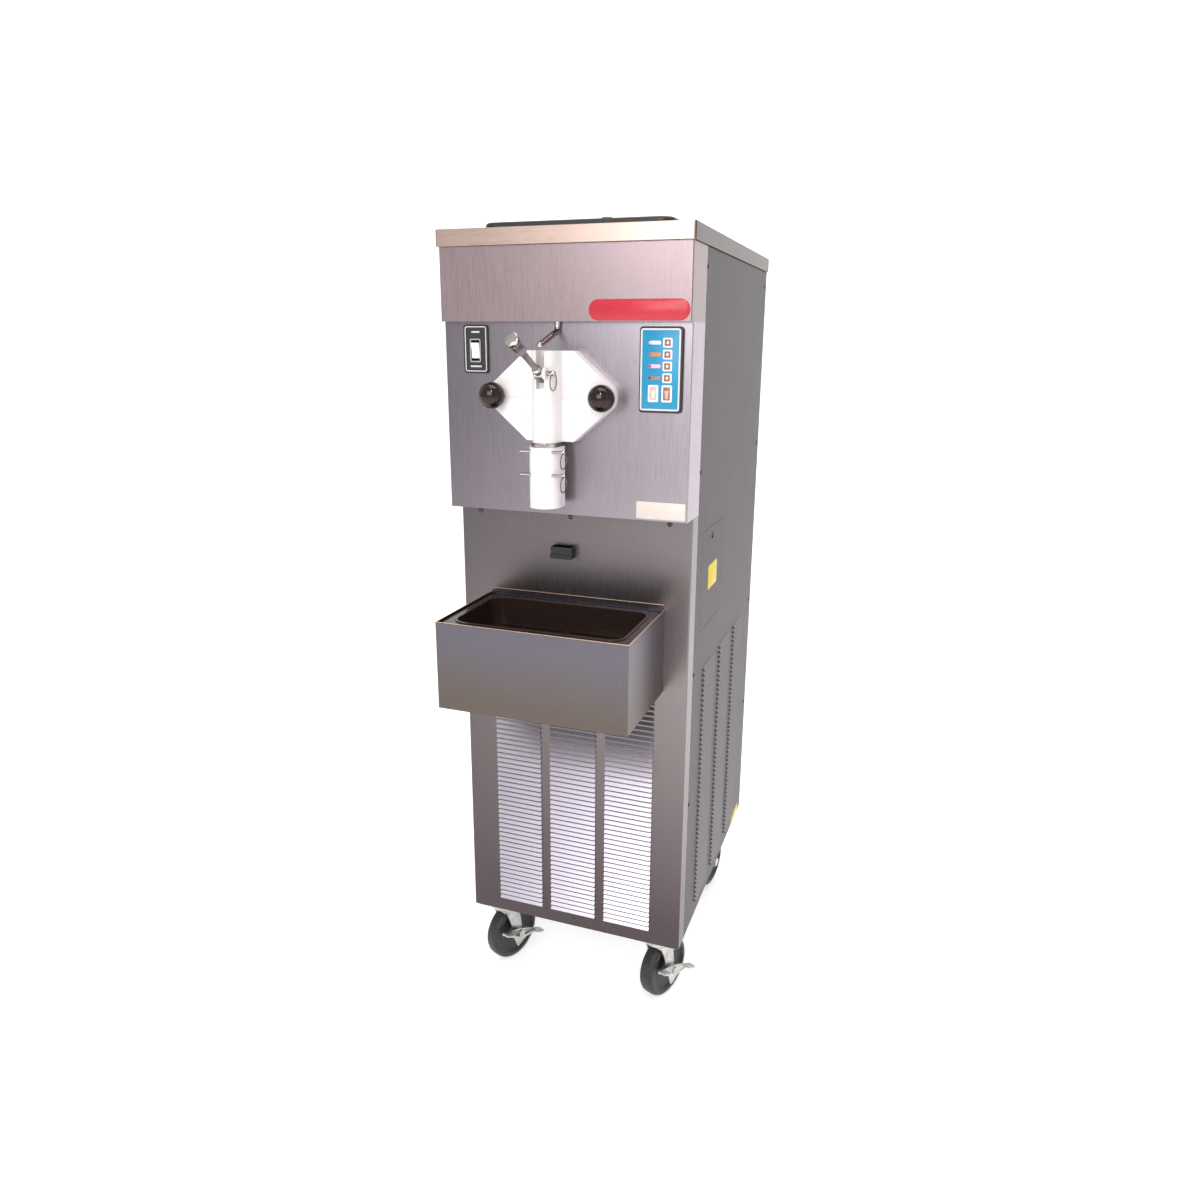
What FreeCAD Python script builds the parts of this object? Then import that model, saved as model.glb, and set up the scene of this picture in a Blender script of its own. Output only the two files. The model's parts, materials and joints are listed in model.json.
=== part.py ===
import FreeCAD
import Part
import math
import os

V = FreeCAD.Vector
os.makedirs("parts", exist_ok=True)

# Floor-standing shake and soft-serve freezer on four casters, in millimetres.
# While it is built, X runs to the right, Y to the back from the lower front panel's face, and Z up
# from the floor.  At the end everything moves along Y, so that the origin is the middle of the footprint.

# ---- cabinet ----
CABINET_W = 457.2       # across the side panels
CABINET_D = 626.0       # lower front panel to rear panel
CABINET_H = 1343.0      # underside of the base pan to the rim of the top cover
FLOOR_GAP = 150.0       # mounting height of the casters
SHEET = 1.2             # stainless panels
FOLD_R = 2.4            # outside radius of a fold
POST = 42.0             # corner post, leg width
POST_T = 3.0
SEAM = 1.5              # open joint between the front panels' returns and the side panels
RAIL = 20.0             # box section rails
RAIL_T = 2.0
BASE_T = 3.0            # base pan
RIM_H = 28.0            # top cover
RIM_OUT = 3.75          # cover beyond the sides and the rear
RIM_FRONT = 5.8         # cover beyond the header
HEADER_H = 124.7
HEADER_OUT = 54.5       # header in front of the lower panel
FRONT_H = 333.6
FRONT_OUT = 42.0        # front panel in front of the lower panel

# ---- louvres ----
LOUVRE_PITCH = 10.7
LOUVRE_W = 97.0
LOUVRE_GAP = 20.0       # between two front columns
LOUVRE_OUT = 4.0
LOUVRE_LOW = 28.0       # lowest louvre above the cabinet bottom
SIDE_LOUVRE_PITCH_Y = 147.0
SIDE_LOUVRE_FIRST = 86.0     # first side column behind the post

# ---- dispensing head ----
HEAD_X = -16.0
HEAD_DROP = 124.3       # head centre under the header
PLATE_TOP = 88.0        # flat edge at the top and bottom
PLATE_H = 153.0
PLATE_W = 264.0         # between the sharp side corners, before rounding
PLATE_T = 24.0
PLATE_R = 30.0
BOSS_R = 22.0
BORE_R = 13.0
BORE_OUT = 20.0         # bore axis in front of the plate
STUD_SPAN = 202.0
STUD_R = 5.0
BALL_R = 23.0
FIT = 0.08              # radial clearance of a running fit
GAP = 0.4               # clearance between other moving pieces

# ---- draw handle ----
PIVOT_OUT = 42.0        # handle pivot in front of the plate
PIVOT_UP = 40.0         # handle pivot above the head centre
PIN_R = 4.0
LEVER_L = 123.0
LEVER_TILT = 26.6
LEVER_R = 5.2
GRIP_R = 12.0
GRIP_L = 38.0
TAIL_L = 20.0
TAIL_TILT = 30.0        # tail below level when the valve is shut
TAIL_R = 6.0

# ---- spout ----
COLLAR_H = 7.5
SHROUD_H = 105.0
SHROUD_R = 28.0
SHROUD_BORE = 20.0
NOZZLE_R = 18.0
NOZZLE_L = 70.0
CROSS_PIN_R = 2.5
CROSS_PIN_L = 82.0
CROSS_PIN_OUT = 18.0    # pins in front of the bore axis
CROSS_PIN_DROP = (14.5, 54.5)
RING_R = 14.0
RING_WIRE = 1.0

# ---- switch arm ----
ARM_X = 8.0             # beside the head centre
ARM_R = 5.0             # bent rod
ARM_BEND = 12.0         # inside radius of its bend
ARM_DROP = 15.0         # corner of the bend under the header
ARM_REACH = 77.0
ARM_FALL = 24.0
ARM_STEM_UP = 25.0      # stem inside the header
ARM_TAB = 26.0          # tab that works the switch

# ---- power switch and keypad ----
SWITCH_W = 48.0
SWITCH_H = 83.5
SWITCH_T = 4.0
SWITCH_IN = 38.6        # from the cabinet side
SWITCH_DROP = 5.0       # below the header
ROCKER_W = 15.5
ROCKER_H = 27.0
KEYPAD_W = 75.0
KEYPAD_H = 140.0
KEYPAD_T = 6.0
KEYPAD_IN = 14.6
KEYPAD_DROP = 7.5
KEYPAD_BOX_D = 36.0
BUTTON_W = 16.0
BUTTON_H = 15.5
BUTTON_PITCH = 19.0
BUTTON_OUT = 1.2
SERVE_W = 18.0
SERVE_H = 28.0

# ---- drip box ----
DRIP_X = 3.5
DRIP_W = 355.0
DRIP_OUT = 211.4
DRIP_H = 161.0
DRIP_DROP = 172.7       # box rim under the front panel
DRIP_T = 1.5
HANGER_H = 10.0
LEDGE = 10.0
PAN_DEPTH = 66.0
PAN_EDGE = 17.0         # flange of the pan
PAN_R = 26.0
PAN_T = 1.5
PAN_BELOW = 4.0         # pan rim below the box rim
PAN_BEAD = 3.0          # bead round the mouth, width
PAN_BEAD_H = 2.0
PAN_GAP = 2.0           # pan inside the box
PAN_SKIRT = 20.0
PAN_CORNER = 14.0       # outer corners of the flange
GRID_UP = 18.0
GRID_T = 2.0
GRID_SLOTS = 9

# ---- drip drawer ----
DRAWER_W = 42.0
DRAWER_H = 22.0
DRAWER_L = 345.0
DRAWER_OUT = 18.0
DRAWER_DROP = 67.5      # top of the drawer under the front panel
DRAWER_T = 1.5

# ---- hopper ----
LID_IN = 53.6           # lid edge from the cabinet side
LID_D = 352.0
LID_FRONT = 5.0
LID_H = 17.0
LID_T = 3.0
LID_R = 24.0
KNOB_R = 15.0
KNOB_H = 24.0
HOPPER_IN = 12.0        # hopper wall inside the lid edge
HOPPER_DEPTH = 180.0
HOPPER_T = 1.5
HOPPER_R = 30.0
COLLAR_UP = 8.0
OUTLET_R = 16.0
OUTLET_Y = 130.0

# ---- freezing cylinder and drive ----
CYL_R = 53.0
CYL_T = 4.0
CYL_L = 360.0
JACKET_R = 75.0
SHAFT_R = 10.0
REAR_PLATE = 12.0
GEARBOX_W = 130.0
GEARBOX_L = 92.0
GEARBOX_H = 150.0
BIG_PULLEY_R = 70.0
SMALL_PULLEY_R = 30.0
PULLEY_W = 22.0
BELT_T = 5.0
BELT_W = 14.0
MOTOR_R = 75.0
MOTOR_L = 200.0
MOTOR_DROP = 154.0
MOTOR_SHAFT_R = 8.0
MOTOR_IN = 39.0         # motor from the cabinet side

# ---- refrigeration ----
CONDENSER_H = 360.0
CONDENSER_D = 50.0
CONDENSER_IN = 55.0
CONDENSER_Y = 52.0
CONDENSER_UP = 34.0
FAN_R = 135.0
FAN_HUB_R = 28.0
FAN_D = 26.0
FAN_BLADES = 5
SHROUD_D = 42.0
FAN_MOTOR_R = 42.0
FAN_MOTOR_L = 80.0
COMPRESSOR_R = 88.0
COMPRESSOR_H = 235.0
RECEIVER_R = 45.0
RECEIVER_H = 240.0
LINE_R = 5.0

# ---- casters ----
WHEEL_R = 63.5
WHEEL_W = 32.0
AXLE_R = 6.0
TRAIL = 16.0
CASTER_IN = 52.6        # swivel axis from the cabinet side
CASTER_FRONT_Y = 42.0
CASTER_REAR_IN = 165.0  # rear swivel axis from the rear panel
PLATE_X = 100.0
PLATE_Y = 76.0
PLATE_Z = 4.0
CASTER_BOLT_R = 5.5
CASTER_BOLT_IN = 10.0   # from the plate's edges
CASTER_BOLT_H = 4.0
FORK_T = 4.0
FORK_GAP = 3.0
AXLE_NUT = 5.0
PEDAL_REACH = 60.0      # brake pedal, each way from the axle
PEDAL_TILT = 22.0       # front end up when the brake is off
PAD_W = 24.0
PAD_OUT = 18.0
FRONT_YAW = 69.0        # the wheels trail behind, after the cabinet was pushed forward
REAR_YAW = (74.0, 80.0)

# ---- side access panel, screws, gland and badges ----
ACCESS_W = 178.0
ACCESS_H = 196.0
ACCESS_BEHIND_POST = 38.0
ACCESS_UNDER_FRONT = 41.0
SCREW_R = 5.0
SCREW_H = 2.0
GLAND_R = 14.0
GLAND_BORE_R = 6.5
GLAND_L = 26.0
BADGE_W = 174.0
BADGE_H = 34.0
BADGE_T = 2.0
LABEL_T = 0.5

# ---- places that several pieces share ----
half_w = CABINET_W / 2
inner_w = half_w - SHEET
base_z = FLOOR_GAP
cabinet_top = base_z + CABINET_H
cover_top = cabinet_top + RIM_H
panel_top = cover_top - SHEET
return_y = POST - SEAM
header_z = cabinet_top - HEADER_H
front_z = header_z - FRONT_H
floor_z = base_z + BASE_T
rear_y = CABINET_D
head_z = header_z - HEAD_DROP
plate_y = -FRONT_OUT - PLATE_T
bore_y = plate_y - BORE_OUT
plate_low = head_z - PLATE_H / 2
plate_high = head_z + PLATE_H / 2
pivot_y = plate_y - PIVOT_OUT
pivot_z = head_z + PIVOT_UP
collar_low = plate_low - COLLAR_H
shroud_low = collar_low - SHROUD_H
drip_top = front_z - DRIP_DROP
drip_low = drip_top - DRIP_H
pan_top = drip_top - PAN_BELOW
pan_low = pan_top - PAN_DEPTH
drawer_top = front_z - DRAWER_DROP
drawer_low = drawer_top - DRAWER_H
lid_w = CABINET_W - 2 * LID_IN
lid_rear = LID_FRONT + LID_D
hopper_low = cover_top - HOPPER_DEPTH
cylinder_front = -FRONT_OUT
cylinder_rear = cylinder_front + CYL_L
gearbox_front = cylinder_rear + 24.0
gearbox_rear = gearbox_front + GEARBOX_L
pulley_front = gearbox_rear + 8.0
pulley_rear = pulley_front + PULLEY_W
motor_x = half_w - MOTOR_IN - MOTOR_R
motor_z = head_z - MOTOR_DROP
motor_rear = gearbox_front + 8.0 - 16.0
shelf_z = motor_z - MOTOR_R
axle_z = WHEEL_R
keypad_right = half_w - KEYPAD_IN
keypad_left = keypad_right - KEYPAD_W
keypad_top = header_z - KEYPAD_DROP
keypad_y = -FRONT_OUT - KEYPAD_T
switch_left = -half_w + SWITCH_IN
switch_x = switch_left + SWITCH_W / 2
switch_top = header_z - SWITCH_DROP
rocker_z = switch_top - SWITCH_H / 2 - 2.5
switch_y = -FRONT_OUT - SWITCH_T
fan_z = floor_z + CONDENSER_UP + CONDENSER_H / 2
fan_y = CONDENSER_Y + CONDENSER_D + 10.0
access_y = POST + ACCESS_BEHIND_POST
access_high = front_z - ACCESS_UNDER_FRONT
access_low = access_high - ACCESS_H
gland_x = -150.0
gland_z = base_z + 60.0
arm_x = HEAD_X + ARM_X
arm_y = -(FRONT_OUT + HEADER_OUT - SHEET) / 2
arm_bend_z = header_z - ARM_DROP


# ---- helpers ----
def block(x0, x1, y0, y1, z0, z1):
    return Part.makeBox(x1 - x0, y1 - y0, z1 - z0, V(x0, y0, z0))


def drum(x, y, z, axis, r, length):
    return Part.makeCylinder(r, length, V(x, y, z), V(*axis))


def pipe_ring(x, y, z, axis, r_out, r_in, length):
    return drum(x, y, z, axis, r_out, length).cut(drum(x, y, z, axis, r_in, length))


def joined(shapes):
    return shapes[0].multiFuse(shapes[1:]).removeSplitter()


def rounded(shape, r, axis):
    """Round the straight edges that run along one axis (0, 1 or 2)."""
    edges = []
    for e in shape.Edges:
        d = e.Vertexes[-1].Point - e.Vertexes[0].Point
        if d.Length > 0 and abs(abs(d[axis]) - d.Length) < 1e-6:
            edges.append(e)
    return shape.makeFillet(r, edges)


def prism(points, push):
    """Extrude a closed outline of 3D points."""
    wire = Part.makePolygon([V(*p) for p in points] + [V(*points[0])])
    return Part.Face(wire).extrude(V(*push))


def spun(profile, x, y, z, axis=(0, 0, 1)):
    """A solid of revolution about +Z through the origin, from (radius, height) points, then placed."""
    wire = Part.makePolygon([V(r, 0, h) for r, h in profile + profile[:1]])
    solid = Part.Face(wire).revolve(V(0, 0, 0), V(0, 0, 1), 360)
    turn = FreeCAD.Rotation(V(0, 0, 1), V(*axis))
    solid.Placement = FreeCAD.Placement(V(x, y, z), turn)
    return solid


def box_rail(x0, x1, y0, y1, z0, z1, axis):
    """A hollow square rail, open at both ends."""
    inset = [RAIL_T, RAIL_T, RAIL_T]
    inset[axis] = -1.0
    return block(x0, x1, y0, y1, z0, z1).cut(block(
        x0 + inset[0], x1 - inset[0], y0 + inset[1], y1 - inset[1], z0 + inset[2], z1 - inset[2]))


def bent_tube(points, r, bend):
    """A round tube along straight runs joined by tangent arcs."""
    corners = [V(*p) for p in points]
    edges = []
    start = corners[0]
    for before, corner, after in zip(corners, corners[1:], corners[2:]):
        a = (before - corner).normalize()
        b = (after - corner).normalize()
        half = a.getAngle(b) / 2
        cut = bend / math.tan(half)
        p = corner + a * cut
        q = corner + b * cut
        middle = corner + (a + b).normalize() * (bend / math.sin(half) - bend)
        edges.append(Part.makeLine(start, p))
        edges.append(Part.Arc(p, middle, q).toShape())
        start = q
    edges.append(Part.makeLine(start, corners[-1]))
    path = Part.Wire(edges)
    first = corners[1] - corners[0]
    ring = Part.Wire([Part.makeCircle(r, corners[0], first)])
    return path.makePipeShell([ring], True, True)


def moved(shape, x, y, z):
    copy = shape.copy()
    copy.translate(V(x, y, z))
    return copy


# ---- cabinet ----
def corner_post(side, y0, y1, open_to):
    """An angle post: one leg along the side, one across, at the end that open_to points away from."""
    x_out = side * inner_w
    x_in = x_out - side * POST
    x_leg = x_out - side * POST_T
    leg = block(min(x_out, x_leg), max(x_out, x_leg), y0, y1, floor_z, panel_top)
    y_leg = y0 if open_to > 0 else y1 - POST_T
    across = block(min(x_in, x_out), max(x_in, x_out), y_leg, y_leg + POST_T, floor_z, panel_top)
    y_out = y0 if open_to > 0 else y1
    return round_corner(joined([leg, across]), x_out, y_out)


def round_corner(solid, x, y):
    """Round the upright edge at (x, y), so that it sits inside a folded panel."""
    at_corner = []
    for e in solid.Edges:
        b = e.BoundBox
        if abs(b.XMin - x) + abs(b.XMax - x) + abs(b.YMin - y) + abs(b.YMax - y) < 1e-4:
            at_corner.append(e)
    return solid.makeFillet(FOLD_R, at_corner)


def caster_places():
    rear = CABINET_D - CASTER_REAR_IN
    x = half_w - CASTER_IN
    return {
        "front_left": (-x, CASTER_FRONT_Y, FRONT_YAW),
        "front_right": (x, CASTER_FRONT_Y, FRONT_YAW),
        "rear_left": (-x, rear, REAR_YAW[0]),
        "rear_right": (x, rear, REAR_YAW[1]),
    }


def caster_plate(x, y):
    low = base_z - PLATE_Z
    plate = block(x - PLATE_X / 2, x + PLATE_X / 2, y - PLATE_Y / 2, y + PLATE_Y / 2, low, base_z)
    plate = rounded(plate, 8, 2)
    return plate.cut(drum(x, y, low, (0, 0, 1), AXLE_R + GAP, PLATE_Z))


def frame():
    pan = block(-inner_w, inner_w, SHEET, rear_y - SHEET, base_z, floor_z)
    for side in (-1, 1):
        pan = round_corner(pan, side * inner_w, SHEET)
    solids = [pan]
    for side in (-1, 1):
        solids.append(corner_post(side, SHEET, POST, 1))
        solids.append(corner_post(side, rear_y - SHEET - POST, rear_y - SHEET, -1))
        x0, x1 = sorted((side * inner_w, side * (inner_w - RAIL)))
        for z in (floor_z, shelf_z - RAIL, panel_top - RAIL):
            solids.append(box_rail(x0, x1, POST, rear_y - SHEET - POST, z, z + RAIL, 1))
    span = inner_w - RAIL
    # the shelf under the motor and gearbox, the saddle bar under the cylinder, the bar behind the drawer
    for y in (motor_rear - MOTOR_L + 30, gearbox_front + 20):
        solids.append(box_rail(-span, span, y, y + RAIL, shelf_z - RAIL, shelf_z, 0))
    post_span = inner_w - POST_T
    y = SHEET + POST_T
    saddle = head_z - JACKET_R
    bar = drawer_low - GAP - 3
    for top in (saddle, bar):
        solids.append(box_rail(-post_span, post_span, y, y + RAIL, top - RAIL, top, 0))
    drawer_end = DRAWER_L - DRAWER_OUT
    for x in (HEAD_X - DRAWER_W / 2 + 4, HEAD_X + DRAWER_W / 2 - 12):
        solids.append(block(x, x + 8, y, drawer_end, bar, bar + 3))
    y = gearbox_front + 10
    solids.append(block(HEAD_X - 30, HEAD_X + 30, y, y + 40, shelf_z, head_z - GEARBOX_H / 2))
    for x, y, yaw in caster_places().values():
        solids.append(caster_plate(x, y))
        for dx in (-1, 1):
            for dy in (-1, 1):
                px = x + dx * (PLATE_X / 2 - CASTER_BOLT_IN)
                py = y + dy * (PLATE_Y / 2 - CASTER_BOLT_IN)
                low = base_z - PLATE_Z - CASTER_BOLT_H
                solids.append(drum(px, py, low, (0, 0, 1), CASTER_BOLT_R, CASTER_BOLT_H))
    return Part.makeCompound(solids)


def louvre_rows(low, high):
    return int((high - low) / LOUVRE_PITCH) + 1


def hood(width):
    """One lanced louvre, as a thin hood on the plane Y = 0, opening downward, width along X from 0."""
    t = 0.9
    out = LOUVRE_OUT
    shell = prism([(0, 0, 1), (0, 0, 8.6), (0, -out, 3), (0, -out, 1)], (width, 0, 0))
    hollow = prism([(t, t, 0), (t, t, 7.6), (t, -out + t, 2.6), (t, -out + t, 0)], (width - 2 * t, 0, 0))
    return shell.cut(hollow)


def louvred(sheet, starts, low, high, width, turn=None):
    """Cut and form louvre columns in a sheet whose outside faces -Y; turn places it on another face."""
    hoods = []
    slots = []
    for x in starts:
        for i in range(louvre_rows(low, high)):
            z = low + i * LOUVRE_PITCH
            slots.append(block(x + 2, x + width - 2, -1, SHEET + 1, z + 1.6, z + 7.2))
            hoods.append(moved(hood(width), x, 0, z))
    slots = Part.makeCompound(slots)
    if turn:
        slots = turn(slots)
        hoods = [turn(h) for h in hoods]
    return sheet.cut(slots).multiFuse(hoods)


def lower_front_panel():
    lip = block(-inner_w + POST, inner_w - POST, 0, 20, front_z - SHEET, front_z)
    sheet = joined([front_pan(0, base_z, front_z), lip])
    # slot for the drip drawer, with a raised frame round it
    w = DRAWER_W / 2
    ring_out = block(HEAD_X - w - 6, HEAD_X + w + 6, -2, 0, drawer_low - 5, drawer_top + 5)
    sheet = sheet.fuse(ring_out)
    x = w + GAP
    sheet = sheet.cut(block(HEAD_X - x, HEAD_X + x, -3, SHEET + 1, drawer_low - GAP, drawer_top + GAP))
    pitch = LOUVRE_W + LOUVRE_GAP
    starts = [i * pitch - LOUVRE_W / 2 for i in (-1, 0, 1)]
    low = base_z + LOUVRE_LOW
    high = drip_low - 29
    return louvred(sheet, starts, low, high, LOUVRE_W)


def fold_front(solid, y, r):
    """Round the two upright edges at the front."""
    front = [e for e in solid.Edges if e.BoundBox.YMax < y + 1e-6]
    return solid.makeFillet(r, [e for e in front if e.BoundBox.XLength < 1e-6])


def front_pan(y, low, high):
    """A front sheet with a return along each side, back to the seam."""
    outer = fold_front(block(-half_w, half_w, y, return_y, low, high), y, FOLD_R)
    inner = block(-inner_w, inner_w, y + SHEET, return_y + 1, low, high)
    return outer.cut(fold_front(inner, y + SHEET, FOLD_R - SHEET))


def switch_hole():
    w = ROCKER_W / 2 + 4
    h = ROCKER_H / 2 + 6
    return (switch_x - w, switch_x + w, rocker_z - h, rocker_z + h)


def front_panel():
    y = -FRONT_OUT
    under = block(-half_w, half_w, y, 0, front_z, front_z + SHEET)
    pan = joined([front_pan(y, front_z, header_z), under])
    pan = pan.cut(drum(HEAD_X, y - 1, head_z, (0, 1, 0), CYL_R + 12, SHEET + 2))
    for side in (-1, 1):
        pan = pan.cut(drum(HEAD_X + side * STUD_SPAN / 2, y - 1, head_z, (0, 1, 0), STUD_R + 1, SHEET + 2))
    x0, x1, z0, z1 = switch_hole()
    pan = pan.cut(block(x0, x1, y - 1, y + SHEET + 1, z0, z1))
    edge = 4.0
    return pan.cut(block(keypad_left + edge, keypad_right - edge, y - 1, y + SHEET + 1,
                         keypad_top - KEYPAD_H + edge, keypad_top - edge))


def header_panel():
    y = -HEADER_OUT
    under = block(-half_w, half_w, y, -FRONT_OUT + SHEET, header_z, header_z + SHEET)
    pan = joined([front_pan(y, header_z, panel_top), under])
    # the hole that the switch arm's stem turns in
    return pan.cut(drum(arm_x, arm_y, header_z - 1, (0, 0, 1), ARM_R + FIT, SHEET + 2))


def side_louvre_starts():
    first = POST + SIDE_LOUVRE_FIRST
    return [first + i * SIDE_LOUVRE_PITCH_Y for i in range(3)]


def side_panel(side):
    x0, x1 = sorted((side * half_w, side * inner_w))
    sheet = block(x0, x1, POST, rear_y, base_z, panel_top)
    if side > 0:
        sheet = sheet.cut(block(x0 - 1, x1 + 1, access_y, access_y + ACCESS_W, access_low, access_high))

    starts = side_louvre_starts()
    mirror_y = starts[0] + starts[-1] + LOUVRE_W

    def turn(shape):
        """Carry a louvre from the front face to this side: X runs along the side, -Y points outward."""
        out = shape.copy()
        if side > 0:
            out.rotate(V(0, 0, 0), V(0, 0, 1), 90)
            out.translate(V(half_w, 0, 0))
        else:
            out.rotate(V(0, 0, 0), V(0, 0, 1), -90)
            out.translate(V(-half_w, mirror_y, 0))
        return out

    high = access_low - 85
    return louvred(sheet, starts, base_z + LOUVRE_LOW, high, LOUVRE_W, turn)


def rear_panel():
    sheet = block(-inner_w, inner_w, rear_y - SHEET, rear_y, base_z, panel_top)
    sheet = sheet.cut(drum(gland_x, rear_y - 10, gland_z, (0, 1, 0), GLAND_R - 4, 20))
    slots = []
    for x in (-130, 10):
        for i in range(24):
            z = base_z + 120 + i * 16
            slots.append(block(x, x + 120, rear_y - SHEET - 1, rear_y + 1, z, z + 6))
    return sheet.cut(Part.makeCompound(slots))


def access_panel():
    gap = 0.8
    x = inner_w
    sheet = block(x, half_w, access_y + gap, access_y + ACCESS_W - gap, access_low + gap, access_high - gap)
    tab = block(x - 2, x, access_y + 20, access_y + ACCESS_W - 20, access_low - 8, access_low + 12)
    head = drum(half_w, access_y + ACCESS_W / 2, access_high - 20, (1, 0, 0), 7, 1.4)
    slot = block(half_w + 0.6, half_w + 2, access_y + ACCESS_W / 2 - 6, access_y + ACCESS_W / 2 + 6,
                 access_high - 20.8, access_high - 19.2)
    return Part.makeCompound([joined([sheet, tab]), head.cut(slot)])


def top_cover():
    x = half_w + RIM_OUT
    y0 = -HEADER_OUT - RIM_FRONT
    y1 = rear_y + RIM_OUT
    outer = rounded(block(-x, x, y0, y1, cabinet_top, cover_top), 5, 2)
    inner = block(-x + SHEET, x - SHEET, y0 + SHEET, y1 - SHEET, cabinet_top - 1, cover_top - SHEET)
    inner = rounded(inner, 4, 2)
    hole_x = lid_w / 2 - HOPPER_IN
    hole = rounded(block(-hole_x, hole_x, LID_FRONT + HOPPER_IN, lid_rear - HOPPER_IN,
                         cabinet_top, cover_top + 1), HOPPER_R, 2)
    return outer.cut(inner).cut(hole)


# ---- hopper ----
def hopper():
    x = lid_w / 2 - HOPPER_IN
    y0 = LID_FRONT + HOPPER_IN
    y1 = lid_rear - HOPPER_IN
    t = HOPPER_T
    top = cover_top + COLLAR_UP
    outer = rounded(block(-x, x, y0, y1, hopper_low, top), HOPPER_R, 2)
    inner = rounded(block(-x + t, x - t, y0 + t, y1 - t, hopper_low + t, top + 1), HOPPER_R - t, 2)
    outlet_low = head_z + CYL_R - 1
    outlet_l = hopper_low - outlet_low + t
    outlet = drum(HEAD_X, OUTLET_Y, outlet_low, (0, 0, 1), OUTLET_R, outlet_l)
    bore = drum(HEAD_X, OUTLET_Y, outlet_low - 1, (0, 0, 1), OUTLET_R - 2, outlet_l + t + 1)
    tank = joined([outer.cut(inner), outlet]).cut(bore)
    tank = tank.cut(drum(HEAD_X, cylinder_front - 1, head_z, (0, 1, 0), CYL_R, CYL_L))
    # the feed tube stands in the outlet and reaches above the mix
    tube_l = HOPPER_DEPTH - 40
    tube = pipe_ring(HEAD_X, OUTLET_Y, hopper_low, (0, 0, 1), OUTLET_R - 2, OUTLET_R - 5, tube_l)
    return Part.makeCompound([tank, tube])


def hopper_lid():
    x = lid_w / 2
    low = cover_top + GAP
    high = cover_top + LID_H
    outer = rounded(block(-x, x, LID_FRONT, lid_rear, low, high), LID_R, 2)
    top_edges = [e for e in outer.Edges if abs(e.BoundBox.ZMin - high) < 1e-6]
    outer = outer.makeFillet(5, top_edges)
    t = LID_T
    inner = rounded(block(-x + t, x - t, LID_FRONT + t, lid_rear - t, low - 1, high - t), LID_R - t, 2)
    middle_y = (LID_FRONT + lid_rear) / 2
    profile = [(0, 0), (8, 0), (7, 8), (KNOB_R, 13), (KNOB_R, 18), (11, KNOB_H), (0, KNOB_H)]
    knob = spun(profile, 0, middle_y, high)
    return Part.makeCompound([outer.cut(inner), knob])


# ---- freezing cylinder and its drive ----
def freezing_cylinder():
    tube = pipe_ring(HEAD_X, cylinder_front, head_z, (0, 1, 0), CYL_R, CYL_R - CYL_T, CYL_L)
    flange = pipe_ring(HEAD_X, cylinder_front, head_z, (0, 1, 0), CYL_R + 10, CYL_R - CYL_T, 8)
    y = cylinder_front + SHEET
    w = STUD_SPAN / 2 + 16
    ears = block(HEAD_X - w, HEAD_X + w, y, y + 6, head_z - 28, head_z + 28)
    ears = ears.cut(drum(HEAD_X, y - 1, head_z, (0, 1, 0), CYL_R - CYL_T, 8))
    for side in (-1, 1):
        ears = ears.cut(drum(HEAD_X + side * STUD_SPAN / 2, y - 1, head_z, (0, 1, 0), STUD_R, 8))
    rear = drum(HEAD_X, cylinder_rear - REAR_PLATE, head_z, (0, 1, 0), CYL_R, REAR_PLATE)
    hub = drum(HEAD_X, cylinder_rear, head_z, (0, 1, 0), SHAFT_R + 12, 14)
    vessel = joined([tube, flange, ears, rear, hub])
    vessel = vessel.cut(drum(HEAD_X, cylinder_rear - REAR_PLATE - 1, head_z, (0, 1, 0), SHAFT_R + FIT, 40))
    vessel = vessel.cut(drum(HEAD_X, OUTLET_Y, head_z, (0, 0, 1), OUTLET_R - 2, CYL_R + 5))
    jacket_y = cylinder_front + SHEET + 6
    jacket = pipe_ring(HEAD_X, jacket_y, head_z, (0, 1, 0), JACKET_R, CYL_R, cylinder_rear - jacket_y - 6)
    jacket = jacket.cut(drum(HEAD_X, jacket_y - 1, head_z, (0, 1, 0), CYL_R + 10, 8 - SHEET - 6 + 2))
    jacket = jacket.cut(drum(HEAD_X, OUTLET_Y, head_z, (0, 0, 1), OUTLET_R, JACKET_R + 5))
    return Part.makeCompound([vessel, jacket])


def dasher():
    front = cylinder_front + 14
    rear = cylinder_rear - REAR_PLATE - 4
    reach = CYL_R - CYL_T - 2.5
    shaft = drum(HEAD_X, front, head_z, (0, 1, 0), SHAFT_R, gearbox_front + 30 - front)
    paddles = []
    count = 12
    step = (rear - front - 12) / count
    for i in range(count):
        paddle = block(-reach, reach, 0, step + 6, -4, 4)
        paddle.rotate(V(0, 0, 0), V(0, 1, 0), i * 180.0 / count)
        paddles.append(moved(paddle, HEAD_X, front + 3 + i * step, head_z))
    beater = joined([shaft] + paddles)
    rim = pipe_ring(HEAD_X, cylinder_front, head_z, (0, 1, 0), 2 * CYL_R, reach, CYL_L)
    return beater.cut(rim)


def gearbox():
    y0, y1 = gearbox_front, gearbox_rear
    w = GEARBOX_W / 2
    body = block(HEAD_X - w, HEAD_X + w, y0, y1, head_z - GEARBOX_H / 2, head_z + GEARBOX_H / 2)
    body = rounded(body, 14, 1)
    boss = drum(HEAD_X, y1, head_z, (0, 1, 0), SHAFT_R + 14, 5)
    body = joined([body, boss])
    body = body.cut(drum(HEAD_X, y0 - 1, head_z, (0, 1, 0), SHAFT_R + FIT, 34))
    return body.cut(drum(HEAD_X, y1 - 30, head_z, (0, 1, 0), SHAFT_R + FIT, 40))


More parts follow.
